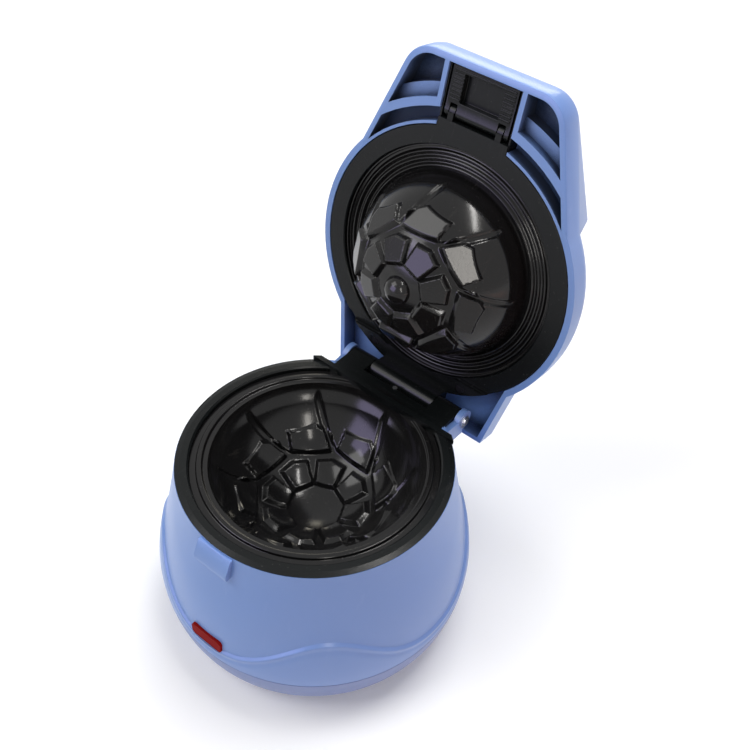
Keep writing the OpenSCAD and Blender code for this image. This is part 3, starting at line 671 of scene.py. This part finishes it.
@dataclass(frozen=True)
class Finish:
    """A procedural finish: a base colour that drifts towards a second one, grain, wear and dust.

    Deep recesses get painted shade: their colour is mixed towards the shade colour, and they grow dull.
    """

    # Sockets of a mix node's colours, by number because other sockets share their names
    MIX_A, MIX_B, MIX_RESULT = 6, 7, 2
    DUST_COLOUR = (0.62, 0.60, 0.57)
    # Height of a full grain, in metres
    BUMP_DISTANCE = 0.0002

    name: str
    colour: Colour
    drift: Colour
    rough: float
    rough_spread: float = 0.08
    metallic: float = 0.0
    grain: float = 0.02
    grain_scale: float = 2600.0
    uneven_scale: float = 18.0
    worn: Colour = (0.6, 0.6, 0.62)
    wear: float = 0.0
    shade: Colour = (0.0, 0.0, 0.0)
    recess: float = 0.0
    dust: float = 0.0
    coat: float = 0.0
    coat_rough: float = 0.12
    specular: float = 0.5
    transmission: float = 0.0

    def build(self, groups: dict[str, NodeGroup]) -> Material:
        """Builds the material.

        Args:
            groups: The shared node groups by their short names.

        Returns:
            The new material.
        """
        material = bpy.data.materials.new(self.name)
        material.use_nodes = True
        tree = material.node_tree
        shader = tree.nodes["Principled BSDF"]
        plain = {"Metallic": self.metallic, "Specular IOR Level": self.specular, "Coat Weight": self.coat,
                 "Coat Roughness": self.coat_rough, "Transmission Weight": self.transmission}
        for label, value in plain.items():
            shader.inputs[label].default_value = value
        grain = self.place(tree, groups["grain"])
        grain.inputs["Grain scale"].default_value = self.grain_scale
        grain.inputs["Uneven scale"].default_value = self.uneven_scale
        uneven = grain.outputs["Uneven"]
        colour = self.mix(tree, uneven, (*self.colour, 1), (*self.drift, 1))
        middle = self.rough - self.rough_spread / 2
        rough = math_node(tree, "MULTIPLY_ADD", uneven, self.rough_spread, middle)
        if self.dust > 0:
            specks = self.place(tree, groups["dust"]).outputs["Speck"]
            amount = math_node(tree, "MULTIPLY", specks, self.dust)
            colour = self.mix(tree, amount, colour, (*self.DUST_COLOUR, 1))
        if self.wear > 0:
            rubbed = self.place(tree, groups["scuff"]).outputs["Mask"]
            amount = math_node(tree, "MULTIPLY", rubbed, self.wear)
            colour = self.mix(tree, amount, colour, (*self.worn, 1))
        # Painted shade: where a spot's surroundings shut it in, the colour is mixed towards the dark
        # shade colour, and the roughness rises there too
        if self.recess > 0:
            painted_shade_mask = self.place(tree, groups["recess"]).outputs["Mask"]
            amount = math_node(tree, "MULTIPLY", painted_shade_mask, self.recess)
            colour = self.mix(tree, amount, colour, (*self.shade, 1))
            rough = math_node(tree, "ADD", rough, math_node(tree, "MULTIPLY", amount, 1 - self.rough))
        tree.links.new(colour, shader.inputs["Base Color"])
        tree.links.new(rough, shader.inputs["Roughness"])
        bump = tree.nodes.new("ShaderNodeBump")
        bump.inputs["Strength"].default_value = self.grain
        bump.inputs["Distance"].default_value = self.BUMP_DISTANCE
        tree.links.new(grain.outputs["Height"], bump.inputs["Height"])
        tree.links.new(bump.outputs["Normal"], shader.inputs["Normal"])
        return material

    @staticmethod
    def place(tree: Tree, group: NodeGroup) -> bpy.types.Node:
        """Puts a group into a material's tree.

        Args:
            tree: The material's node tree.
            group: The group.

        Returns:
            The group's node.
        """
        node = tree.nodes.new("ShaderNodeGroup")
        node.node_tree = group
        return node

    @classmethod
    def mix(cls, tree: Tree, amount: Socket, a: object, b: object) -> Socket:
        """Mixes two colours.

        Args:
            tree: The material's node tree.
            amount: How much of the second colour shows.
            a: A colour or a colour socket.
            b: A colour or a colour socket.

        Returns:
            The mixed colour's socket.
        """
        node = tree.nodes.new("ShaderNodeMix")
        node.data_type = "RGBA"
        tree.links.new(amount, node.inputs["Factor"])
        feed(tree, node.inputs[cls.MIX_A], a)
        feed(tree, node.inputs[cls.MIX_B], b)
        return node.outputs[cls.MIX_RESULT]


def shared_groups() -> dict[str, NodeGroup]:
    """Builds the node groups that the finishes share, each once, by their short names."""
    return {"grain": moulded_grain_group(), "scuff": scuff_group(), "dust": dust_group(),
            "recess": recess_group()}


class Palette:
    """All the maker's finishes, by the record's material slot."""

    FINISHES = {
        # The shell's deep pockets get painted shade, mixed towards a dark navy
        "shell_blue": Finish(
            "Periwinkle plastic", (0.150, 0.266, 0.590), (0.165, 0.278, 0.595), rough=0.34, grain=0.05,
            worn=(0.27, 0.38, 0.68), wear=0.2, coat=0.08, coat_rough=0.2, dust=0.012, specular=0.38,
            shade=(0.002, 0.012, 0.040), recess=0.98),
        "cover_blue": Finish(
            "Periwinkle cover plastic", (0.160, 0.225, 0.455), (0.172, 0.234, 0.458), rough=0.38,
            grain=0.06, worn=(0.28, 0.36, 0.60), wear=0.25, coat=0.08, coat_rough=0.25, dust=0.02,
            specular=0.38),
        "black_plastic": Finish(
            "Black plastic", (0.0042, 0.0052, 0.0056), (0.0065, 0.0078, 0.0082), rough=0.26, grain=0.10,
            grain_scale=3400.0, worn=(0.05, 0.05, 0.05), wear=0.3, dust=0.03, specular=0.17),
        "nonstick": Finish(
            "Non-stick coating", (0.0050, 0.0050, 0.0055), (0.0080, 0.0075, 0.0075), rough=0.16,
            grain=0.12, grain_scale=1500.0, worn=(0.05, 0.045, 0.04), wear=0.3, coat=0.08,
            coat_rough=0.10, specular=0.25, dust=0.03),
        "rubber": Finish(
            "Foot rubber", (0.025, 0.025, 0.026), (0.035, 0.035, 0.035), rough=0.75, grain=0.2),
        "steel": Finish(
            "Turned steel", (0.60, 0.60, 0.61), (0.52, 0.52, 0.53), rough=0.30, metallic=1.0, grain=0.08,
            uneven_scale=120.0),
        "black_steel": Finish(
            "Blacked steel", (0.030, 0.030, 0.032), (0.022, 0.022, 0.023), rough=0.32, metallic=1.0,
            grain=0.08, uneven_scale=120.0),
        "sheet_aluminium": Finish(
            "Rolled aluminium", (0.74, 0.75, 0.76), (0.66, 0.67, 0.68), rough=0.38, metallic=1.0,
            grain=0.10),
        "heater_sheath": Finish(
            "Heater sheath", (0.30, 0.29, 0.28), (0.22, 0.20, 0.18), rough=0.5, metallic=1.0, grain=0.15),
        "window_red": Finish(
            "Red window", (0.25, 0.008, 0.006), (0.20, 0.006, 0.005), rough=0.5, specular=0.02),
        "ceramic": Finish(
            "Fired ceramic", (0.74, 0.70, 0.62), (0.66, 0.62, 0.54), rough=0.6, grain=0.15),
        "lamp_glass": Finish(
            "Lamp glass", (0.95, 0.72, 0.5), (0.95, 0.72, 0.5), rough=0.06, rough_spread=0.02, grain=0.0,
            transmission=0.9),
        "fuse_brass": Finish(
            "Fuse brass", (0.62, 0.46, 0.22), (0.50, 0.36, 0.16), rough=0.35, metallic=1.0),
    }

    def __init__(self) -> None:
        """Builds every finish's material."""
        groups = shared_groups()
        self.materials = {slot: finish.build(groups) for slot, finish in self.FINISHES.items()}

    def dress_node(self, node: str, slot: str) -> None:
        """Gives a CAD node its material through its object's own slots.

        Args:
            node: The CAD node.
            slot: The material slot's name.
        """
        obj = frame["nodes"][node]
        if not obj.material_slots:
            obj.data.materials.append(self.materials[slot])
        for holder in obj.material_slots:
            holder.link = "OBJECT"
            holder.material = self.materials[slot]

    def dress_frame(self) -> None:
        """Gives every CAD node the finish of its own slot."""
        for part in frame["record"]["subparts"]:
            self.dress_node(part["node"], part["material_slot"])


def settle(obj: Object, body: Body, slot: str, palette: Palette, *nodes: str) -> None:
    """Dresses a finished piece, lets it ride on its body and lets it stand for CAD nodes.

    Args:
        obj: The piece.
        body: The body that it moves with.
        slot: The material slot's name.
        palette: The finishes.
        *nodes: CAD nodes that the piece stands for.
    """
    obj.data.materials.clear()
    obj.data.materials.append(palette.materials[slot])
    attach(obj, body.value)
    if nodes:
        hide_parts(*nodes)
    log.info("%s: %d faces, on %s", obj.name, len(obj.data.polygons), body.value)


# ---- the raised pattern of the moulds


@dataclass(frozen=True)
class WafflePattern:
    """Rings of inner pads, outer pads and slanted grooves, seen along the axis.

    The pads' tops are flat facets and their sides slope down between them. Corners are given as a
    radius and an angle, and all sizes but the ball's are for a scale of 1.
    """

    INNER_PAD = ((14.0, -17.0), (22.8, -14.5), (23.9, 0.0), (22.8, 14.5), (14.0, 17.0))
    OUTER_PAD = ((29.0, -17.5), (33.4, -16.5), (36.4, -4.0), (35.4, 17.0), (29.8, 18.5))

    ball_r: float
    scale: float = 1.0
    count: int = 8
    side: float = 1.7
    top: float = 2.0
    inner_middle: float = 18.8
    outer_middle: float = 32.6
    band: float = 1.1
    band_in: float = 27.5
    band_in_ease: float = 2.0
    band_out: float = 46.0
    band_out_ease: float = 3.0
    groove_in: float = 26.5
    groove_back: float = 2.0
    groove_out: float = 43.5
    groove_lean: float = 17.0
    band_groove: float = 0.9
    band_groove_ease: float = 1.1
    pad_groove: float = 0.4
    pad_groove_ease: float = 0.9

    def lift(self, x: Array, y: Array) -> Array:
        """Height of the pattern above the ball, in millimetres.

        The pads fall off into the slanted grooves. The band round them is a constant height, eased
        in and out along the radius, less the same grooves.

        Args:
            x: Places to the right of the axis.
            y: Places to the rear of the axis.

        Returns:
            The heights.
        """
        x, y = x / self.scale, y / self.scale
        radius = np.hypot(x, y)
        step = 360 / self.count
        pads = np.zeros(np.shape(x))
        groove = np.full(np.shape(x), np.inf)
        for k in range(self.count):
            pads = np.maximum(pads, self.pad(x, y, self.INNER_PAD, (k + 0.5) * step, self.inner_middle))
            pads = np.maximum(pads, self.pad(x, y, self.OUTER_PAD, k * step, self.outer_middle))
            start = polar(self.groove_in, step * (k + 0.5) - self.groove_back)
            stop = polar(self.groove_out, step * (k + 0.5) + self.groove_lean)
            groove = np.minimum(groove, self.segment_distance(x, y, start, stop))
        reach = smooth_step((radius - self.band_in) / self.band_in_ease)
        reach = reach * smooth_step((self.band_out - radius) / self.band_out_ease)
        band = self.band * reach * smooth_step((groove - self.band_groove) / self.band_groove_ease)
        pads = pads * smooth_step((groove - self.pad_groove) / self.pad_groove_ease)
        return np.maximum(pads, band) * self.scale

    def pad(self, x: Array, y: Array, corners: Sequence[Spot], turn: float,
            middle: float) -> Array:
        """Height of one pad.

        Its top is a plane square to the ball's radius at the pad's middle, so over an angle w from
        there it stands (ball_r + top) / cos(w) - ball_r high. It falls along its sloping sides with
        the distance from its outline.

        Args:
            x: Places to the right of the axis.
            y: Places to the rear of the axis.
            corners: The pad's corners, each a radius and an angle, anticlockwise.
            turn: The pad's own angle round the axis, in degrees.
            middle: Radius of the pad's middle.

        Returns:
            The heights, none away from the pad.
        """
        ball_r = self.ball_r / self.scale
        depth_z = np.sqrt(np.clip(ball_r ** 2 - np.hypot(x, y) ** 2, 1, None))
        a = math.radians(turn)
        u, v = x * math.cos(a) + y * math.sin(a), -x * math.sin(a) + y * math.cos(a)
        depth = self.polygon_depth(u, v, [polar(*corner) for corner in corners])
        tilt = math.asin(middle / ball_r)
        cosine = np.clip((u * math.sin(tilt) + depth_z * math.cos(tilt)) / ball_r, 0.5, 1)
        plane = (ball_r + self.top) / cosine - ball_r
        return np.where(depth > -2 * self.side, plane * np.clip(1 + depth / self.side, 0, 1), 0.0)

    @staticmethod
    def polygon_depth(x: Array, y: Array, corners: Sequence[Spot]) -> Array:
        """Distance inside a convex polygon: the least distance to its edge lines, negative outside.

        Args:
            x: First coordinates.
            y: Second coordinates.
            corners: The polygon's corners, anticlockwise.

        Returns:
            The distances.
        """
        depth = np.full(np.shape(x), np.inf)
        for (x0, y0), (x1, y1) in zip(corners, [*corners[1:], corners[0]]):
            length = math.hypot(x1 - x0, y1 - y0)
            depth = np.minimum(depth, ((x1 - x0) * (y - y0) - (y1 - y0) * (x - x0)) / length)
        return depth

    @staticmethod
    def segment_distance(x: Array, y: Array, start: Spot, stop: Spot) -> Array:
        """Distance from each place to a straight segment.

        Args:
            x: First coordinates.
            y: Second coordinates.
            start: One end.
            stop: The other end.

        Returns:
            The distances.
        """
        dx, dy = stop[0] - start[0], stop[1] - start[1]
        t = np.clip(((x - start[0]) * dx + (y - start[1]) * dy) / (dx * dx + dy * dy), 0, 1)
        return np.hypot(x - start[0] - t * dx, y - start[1] - t * dy)


# ---- pot


@dataclass
class Pot:
    """The pot: its outer skin, the frame inside it, its rim, its bottom cover and its bowl mould."""

    palette: Palette
    sizes: PotSizes = POT
    # Points of the skin, with its rows crowded towards the raised line
    turns: int = 288
    below_rows: int = 36
    across_rows: int = 14
    above_rows: int = 60
    crowd_below: float = 0.8
    crowd_above: float = 1.2
    last_below: float = 0.9
    across_from: float = -0.8
    across_to: float = 1.8
    first_above: float = 2.0
    # The raised line, the step along it and the groove under it
    waves: int = 4
    wave_low: float = 40.0
    wave_rise: float = 23.0
    wave_power: float = 1.4
    step_d: float = 1.4
    step_start: float = -0.7
    step_run: float = 2.0
    step_fade: float = 34.0
    groove_d: float = 0.4
    groove_drop: float = 3.4
    groove_w: float = 1.7
    # Reach of the blocks that cut the openings, and how near the outline a wall's point lies
    beyond_y: float = 110.0
    beyond_z: float = 140.0
    window_start: float = 6.0
    window_reach: float = 14.0
    inlet_start: float = 60.0
    inlet_reach: float = 50.0
    hole_steps: int = 64
    on_wall: float = 0.06
    # Points and pattern of the bowl, and the root of its flange
    bowl_rows: int = 150
    bowl_back_rows: int = 40
    pattern_scale: float = 1.12
    pattern_share: float = 0.9
    flange_root: float = 1.4
    root_round: float = 1.0

    def build(self) -> None:
        """Builds the pot's pieces."""
        self.bowl_mould()
        self.skin()
        self.frame_inside()
        rim = softened("rim_bezel", "pot_rim", width=0.35, angle=12.0)
        settle(rim, Body.BASE, "black_plastic", self.palette, "rim_bezel")
        cover = softened("bottom_cover", "pot_cover", width=0.5)
        settle(cover, Body.BASE, "cover_blue", self.palette, "bottom_cover")

    def wave(self, angle: Array) -> Array:
        """Height of the raised line round the pot.

        With u = (1 - cos(waves a)) / 2 at angle a from the front, it is the lowest height plus the
        rise times u to the wave's power.

        Args:
            angle: Angles about the Z axis.

        Returns:
            The line's heights.
        """
        u = (1 - np.cos(self.waves * (angle - FRONT))) / 2
        return self.wave_low + self.wave_rise * u ** self.wave_power

    def skin(self) -> None:
        """The pot's outer skin: its outline turned round, set back a little above the raised line.

        Rows follow the line's own height, so the step there stays even, and they lie closer near it.
        The radius is the outline's less step_d, eased in over step_run from step_start above the line
        and out again over step_fade, and less a bell-shaped groove groove_drop below the line.
        """
        s = self.sizes
        angle = full_turn(self.turns)
        line = self.wave(angle)
        low, high = s.seam_z + s.seam_gap, s.rim_z - s.lip_t - s.seat
        share_below = np.linspace(0, 1, self.below_rows)[:, None] ** self.crowd_below
        share_above = np.linspace(0, 1, self.above_rows)[:, None] ** self.crowd_above
        below = low + (line - self.last_below - low) * share_below
        across = line + np.linspace(self.across_from, self.across_to, self.across_rows)[:, None]
        above = line + self.first_above + (high - line - self.first_above) * share_above
        z = np.concatenate([below, across, above])
        rise = z - line
        step = self.step_d * smooth_step((rise - self.step_start) / self.step_run)
        step = step * (1 - smooth_step((rise - self.step_run) / self.step_fade))
        step += self.groove_d * np.exp(-((rise + self.groove_drop) / self.groove_w) ** 2)
        r = s.radius(z) - step
        z[1] = low + s.seam_bevel
        r[0] = s.radius(z[0]) - s.seam_bevel
        r[1] = s.radius(z[1])
        z_in = np.array([high, low])[:, None] + 0 * angle
        r_in = s.radius(z_in) - s.wall / 2
        r, z = np.concatenate([r, r_in]), np.concatenate([z, z_in])
        points = np.stack([r * np.cos(angle), r * np.sin(angle), z], -1)
        obj = grid_object("pot_shell", points, smooth_deg=45, close_rows=True)
        cut(obj, self.cutters())
        settle(obj, Body.BASE, "shell_blue", self.palette, "base_shell")

    def cutters(self) -> list[Object]:
        """Blocks for the openings of the hinge, the window and the cord inlet.

        Returns:
            The cutter objects, each longer than the wall that it goes through.
        """
        s = self.sizes
        floor_z = s.rim_z - s.notch_d
        notch = rounded_rectangle(2 * s.notch_x, self.beyond_z - floor_z, 0, steps=0)
        hinge = slab_object("hinge cutter", notch, s.notch_y, self.beyond_y - s.notch_y,
                            (floor_z + self.beyond_z) / 2)
        front = -float(s.radius(np.array(s.window_z)))
        pane = rounded_rectangle(s.window_w, s.window_h, s.window_round)
        window = slab_object("window cutter", pane, front - self.window_start, self.window_reach,
                             s.window_z)
        angle = full_turn(self.hole_steps)[0]
        hole = s.inlet_r * np.stack([np.cos(angle), np.sin(angle)], -1)
        inlet = slab_object("inlet cutter", hole, self.inlet_start, self.inlet_reach, s.inlet_z)
        return [hinge, window, inlet]

    def frame_inside(self) -> None:
        """The rest of the shell: posts, hinge housing and catch, with its wall drawn in under the skin.

        Points within on_wall of the outline belong to the wall.
        """
        obj = softened("base_shell", "pot_frame", width=0.5)
        mesh = obj.data
        points = np.empty(len(mesh.vertices) * 3, np.float32)
        mesh.vertices.foreach_get("co", points)
        points = points.reshape(-1, 3)
        radius = np.hypot(points[:, 0], points[:, 1])
        skin = self.sizes.radius(points[:, 2] / MM) * MM
        on_skin = np.abs(radius - skin) < self.on_wall * MM
        points[on_skin, :2] *= (1 - self.sizes.wall / 2 * MM / radius[on_skin])[:, None]
        mesh.vertices.foreach_set("co", points.ravel())
        settle(obj, Body.BASE, "shell_blue", self.palette, "base_shell")

    def bowl_mould(self) -> None:
        """The bowl: a ball's inside with the pattern raised inwards, then the ridge and flange round it.

        A point at polar angle p from the bottom is at the ball's radius less the pattern's height, and
        the ridge, flange and outside follow as one closed profile.
        """
        s = self.sizes
        mouth_z = s.rim_z - s.mouth_d
        ball = Ball(s.bowl_r, s.bowl_d, mouth_z)
        p = np.linspace(0, ball.edge, self.bowl_rows)[:, None]
        angle = full_turn()
        pattern = WafflePattern(ball.radius, scale=self.pattern_scale)
        lift = self.pattern_share * pattern.lift(*ball.flat_places(p, angle))
        inside = ball.surface(ball.radius - lift, p, angle)
        ridge, ridge_z = s.bowl_r + s.ridge_in, mouth_z + s.ridge_h
        ridge_out = ridge + s.ridge_slope + s.ridge_w
        edge, tongue = s.bezel_in_r - s.play, s.bezel_in_r + s.tongue_w
        under = mouth_z - s.flange_t
        outside = ball.radius + s.bowl_wall
        rim = revolve(rounded_path([
            (s.bowl_r, mouth_z, 0), (ridge, mouth_z, SOFT), (ridge + s.ridge_slope, ridge_z, SOFT),
            (ridge_out, ridge_z, SOFT), (ridge_out + s.ridge_slope, mouth_z, SOFT),
            (edge, mouth_z, SMALL), (edge, under + s.tongue_t, TIGHT),
            (tongue, under + s.tongue_t, TIGHT), (tongue, under, SMALL),
            (outside - self.flange_root, under, self.root_round)]))
        points = np.concatenate([inside, rim[1:], ball.far_side(outside, self.bowl_back_rows)])
        obj = grid_object("bowl", points, smooth_deg=50)
        settle(obj, Body.BASE, "nonstick", self.palette, "bowl_mould")


# ---- lid


@dataclass
class Lid:
    """The lid: its shell, black ring, dome mould and latch."""

    palette: Palette
    sizes: LidSizes = LID
    dome_rows: int = 160
    dome_back_rows: int = 30
    ripple_rows: int = 72

    def build(self) -> None:
        """Builds the lid's pieces."""
        self.dome_mould()
        cover = softened("lid_shell", "lid_cover", width=0.7)
        settle(cover, Body.LID, "shell_blue", self.palette, "lid_shell")
        ring = softened("lid_ring", "lid_black_ring", width=0.35)
        settle(ring, Body.LID, "black_plastic", self.palette, "lid_ring")
        latch = softened("latch_flap", "latch", width=0.25, most_corners=4)
        settle(latch, Body.LATCH, "black_plastic", self.palette, "latch_flap")

    def tip(self, points: Array) -> Array:
        """Turns points of the shut lid back about the hinge to the rest pose.

        Args:
            points: Points of the shut lid, in millimetres.

        Returns:
            The turned points.
        """
        a = math.radians(self.sizes.open_deg)
        hinge_y, hinge_z = self.sizes.hinge_y, POT.rim_z - self.sizes.hinge_d
        y = points[..., 1] - hinge_y
        z = points[..., 2] - hinge_z
        out = points.copy()
        out[..., 1] = hinge_y + y * math.cos(a) + z * math.sin(a)
        out[..., 2] = hinge_z - y * math.sin(a) + z * math.cos(a)
        return out

    def dome_mould(self) -> None:
        """The dome: a ball's underside with the pattern raised outwards, a nub and ripples round it.

        The nub is a small ball's cap. The ripples are a cosine over the width between the dome's foot
        and the brim, a little lower and flatter towards the outside.
        """
        s = self.sizes
        plane = POT.rim_z + s.gap
        ball = Ball(s.dome_r, s.dome_d, plane)
        p = np.linspace(0, ball.edge, self.dome_rows)[:, None]
        angle = full_turn()
        lift = WafflePattern(ball.radius).lift(*ball.flat_places(p, angle))
        nub = np.sqrt(np.clip(s.nub_r ** 2 - (ball.radius * np.sin(p)) ** 2, 0, None)) - s.nub_in
        dome = ball.surface(ball.radius + np.maximum(lift, nub + 0 * angle), p, angle)
        edge = s.ring_in_r - s.play
        step, brim = edge - s.step_w, edge - s.step_w - s.brim_w
        across = np.linspace(0, 1, self.ripple_rows)
        wave = np.cos(2 * np.pi * s.ripples * across)
        swell = plane + s.ripple_z - s.ripple_fall * across + (s.ripple_h - s.ripple_fade * across) * wave
        foot = s.dome_r + s.foot_w
        ripples = np.stack([foot + (brim - foot) * across, swell], -1)
        rise = rounded_path([(s.dome_r, plane, 0), (s.dome_r + s.knee_w, plane + s.knee_h, s.knee_round),
                             (foot, swell[0], 0)])
        flange, tongue = plane + s.ring_t, s.ring_in_r + s.tongue_w
        crown, inside = flange + s.crown_t, s.dome_r - s.dome_wall
        outer = rounded_path([
            (brim, swell[-1], 0), (step, swell[-1], SMALL), (step, plane + s.step_z, SMALL),
            (edge, plane + s.step_z, SMALL), (edge, flange + s.seat, TIGHT),
            (tongue, flange + s.seat, TIGHT), (tongue, flange + s.tongue_t, SMALL),
            (s.ring_in_r - s.shoulder, flange + s.tongue_t, SOFT),
            (s.ring_in_r - 2 * s.shoulder, crown, SOFT), (inside + s.draft, crown, SOFT),
            (inside, flange + s.lip_h, 0)])
        ridges = revolve(np.concatenate([rise, ripples[1:], outer[1:]]))
        back = ball.far_side(ball.radius - s.dome_wall, self.dome_back_rows)
        points = np.concatenate([dome, ridges[1:], back])
        obj = grid_object("dome", self.tip(points), smooth_deg=50)
        settle(obj, Body.LID, "nonstick", self.palette, "dome_mould")


# ---- studio


@dataclass(frozen=True)
class SoftBox:
    """A soft box that faces the pot, with its lengths in metres."""

    AIM = (0, 0.02, 0.12)

    name: str
    place: Place
    width: float
    height: float
    watts: float
    colour: Colour
    lights: bool = True
    mirrored: bool = True

    def hang(self) -> None:
        """Hangs the lamp: it may be left out of the plain light or of the mirror images."""
        data = bpy.data.lights.new(self.name, "AREA")
        data.shape = "RECTANGLE"
        data.size, data.size_y = self.width, self.height
        data.energy = self.watts
        data.color = self.colour
        lamp = bpy.data.objects.new(self.name, data)
        aim = Vector(self.AIM) - Vector(self.place)
        turn = aim.to_track_quat("-Z", "Y").to_matrix().to_4x4()
        lamp.matrix_world = Matrix.Translation(self.place) @ turn
        lamp.visible_diffuse = self.lights
        lamp.visible_glossy = self.mirrored
        bpy.context.scene.collection.objects.link(lamp)


@dataclass(frozen=True)
class Studio:
    """The camera, the floor, the soft boxes and the world."""

    SOFT_BOXES = (
        SoftBox("Key", (-0.75, -0.75, 1.35), 0.9, 0.9, 12.0, (1.0, 0.99, 0.97)),
        SoftBox("Top", (0.0, 0.45, 1.5), 0.8, 0.8, 16.0, (0.97, 0.98, 1.0), mirrored=False),
        SoftBox("Top strip", (0.3, 0.35, 1.5), 0.9, 0.10, 9.0, (1.0, 0.98, 0.95), lights=False),
        SoftBox("Warm side", (1.2, -0.15, 0.10), 0.5, 0.25, 3.4, (1.0, 0.46, 0.34), mirrored=False),
        SoftBox("Lavender card", (-0.5, -1.2, 0.7), 1.0, 0.9, 15.0, (0.66, 0.58, 1.0), lights=False),
        SoftBox("Back sweep", (-0.65, 1.35, 0.9), 1.0, 0.6, 12.0, (1.0, 0.93, 0.74), lights=False),
        SoftBox("White strip", (1.15, -0.95, 1.05), 0.2, 0.9, 9.0, (1.0, 0.96, 0.90), lights=False),
    )
    WHITE = (1, 1, 1, 1)

    focal: float = 48.0
    sensor: float = 36.0
    nearest: float = 10.0
    farthest: float = 20000.0
    distance: float = 413.12
    azimuth: float = 36.34
    elevation: float = 45.79
    roll: float = 3.34
    target_x: float = 32.70
    target_z: float = 184.91
    floor_half: float = 6000.0
    floor_grey: float = 0.93
    floor_glow: float = 0.12
    far_glow: float = 0.9
    glow_from: float = 450.0
    glow_full: float = 1800.0
    floor_rough: float = 0.9
    floor_specular: float = 0.1
    world_light: float = 0.30
    world_seen: float = 1.0

    def build(self) -> None:
        """Builds the studio."""
        self.camera()
        self.floor()
        for soft_box in self.SOFT_BOXES:
            soft_box.hang()
        self.world()
        bpy.context.scene.view_settings.view_transform = "Standard"

    def camera(self) -> None:
        """Places the camera: it looks down at the front from the right, with a slight roll."""
        a, e, roll = (math.radians(v) for v in (self.azimuth, self.elevation, self.roll))
        back = Vector((math.sin(a) * math.cos(e), -math.cos(a) * math.cos(e), math.sin(e)))
        right = Vector((math.cos(a), math.sin(a), 0))
        up = back.cross(right)
        across = math.cos(roll) * right + math.sin(roll) * up
        upright = math.cos(roll) * up - math.sin(roll) * right
        place = Vector((self.target_x, 0, self.target_z)) * MM + back * self.distance * MM
        data = bpy.data.cameras.new("Camera")
        data.lens = self.focal
        data.sensor_width = self.sensor
        data.clip_start = self.nearest * MM
        data.clip_end = self.farthest * MM
        camera = bpy.data.objects.new("Camera", data)
        turn = Matrix((across, upright, back)).transposed().to_4x4()
        camera.matrix_world = Matrix.Translation(place) @ turn
        bpy.context.scene.collection.objects.link(camera)
        bpy.context.scene.camera = camera

    def floor(self) -> None:
        """Lays a plain pale floor that shows white from afar and keeps the object's shadow."""
        half = self.floor_half
        corners = np.array([[-half, -half, 0], [half, -half, 0], [half, half, 0], [-half, half, 0]])
        floor = make_object("floor", corners, [[0, 1, 2, 3]])
        material = bpy.data.materials.new("Pale floor")
        material.use_nodes = True
        tree = material.node_tree
        shader = tree.nodes["Principled BSDF"]
        shader.inputs["Base Color"].default_value = (*[self.floor_grey] * 3, 1)
        shader.inputs["Emission Color"].default_value = self.WHITE
        shader.inputs["Roughness"].default_value = self.floor_rough
        shader.inputs["Specular IOR Level"].default_value = self.floor_specular
        place = tree.nodes.new("ShaderNodeTexCoord")
        reach = tree.nodes.new("ShaderNodeVectorMath")
        reach.operation = "LENGTH"
        tree.links.new(place.outputs["Object"], reach.inputs[0])
        far = tree.nodes.new("ShaderNodeMapRange")
        far.interpolation_type = "SMOOTHSTEP"
        tree.links.new(reach.outputs["Value"], far.inputs["Value"])
        start, full = self.glow_from * MM, self.glow_full * MM
        ramp = {"From Min": start, "From Max": full, "To Max": self.far_glow}
        for label, value in ramp.items():
            far.inputs[label].default_value = value
        seen = self.background_rays(tree)
        glow = math_node(tree, "MULTIPLY_ADD", seen, far.outputs["Result"], self.floor_glow)
        tree.links.new(glow, shader.inputs["Emission Strength"])
        floor.data.materials.append(material)

    def world(self) -> None:
        """Sets the pale world: dim as a light, white where a ray shows it."""
        world = bpy.data.worlds.new("Pale world")
        bpy.context.scene.world = world
        world.use_nodes = True
        tree = world.node_tree
        background = tree.nodes["Background"]
        strength = tree.nodes.new("ShaderNodeMapRange")
        tree.links.new(self.background_rays(tree), strength.inputs["Value"])
        strength.inputs["To Min"].default_value = self.world_light
        strength.inputs["To Max"].default_value = self.world_seen
        tree.links.new(strength.outputs["Result"], background.inputs["Strength"])
        background.inputs["Color"].default_value = self.WHITE

    @staticmethod
    def background_rays(tree: Tree) -> Socket:
        """One for the rays that show the background, seen straight on, mirrored or through glass.

        Args:
            tree: The node tree.

        Returns:
            The socket.
        """
        path = tree.nodes.new("ShaderNodeLightPath")
        outputs = path.outputs
        direct = math_node(tree, "MAXIMUM", outputs["Is Camera Ray"], outputs["Is Transmission Ray"])
        return math_node(tree, "MAXIMUM", direct, outputs["Is Glossy Ray"])


def main() -> None:
    """Builds the studio and the maker, piece by piece."""
    logging.basicConfig(level=logging.INFO, format="%(name)s: %(message)s")
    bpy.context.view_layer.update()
    Studio().build()
    palette = Palette()
    palette.dress_frame()
    Pot(palette).build()
    Lid(palette).build()


if __name__ == "__main__":
    main()
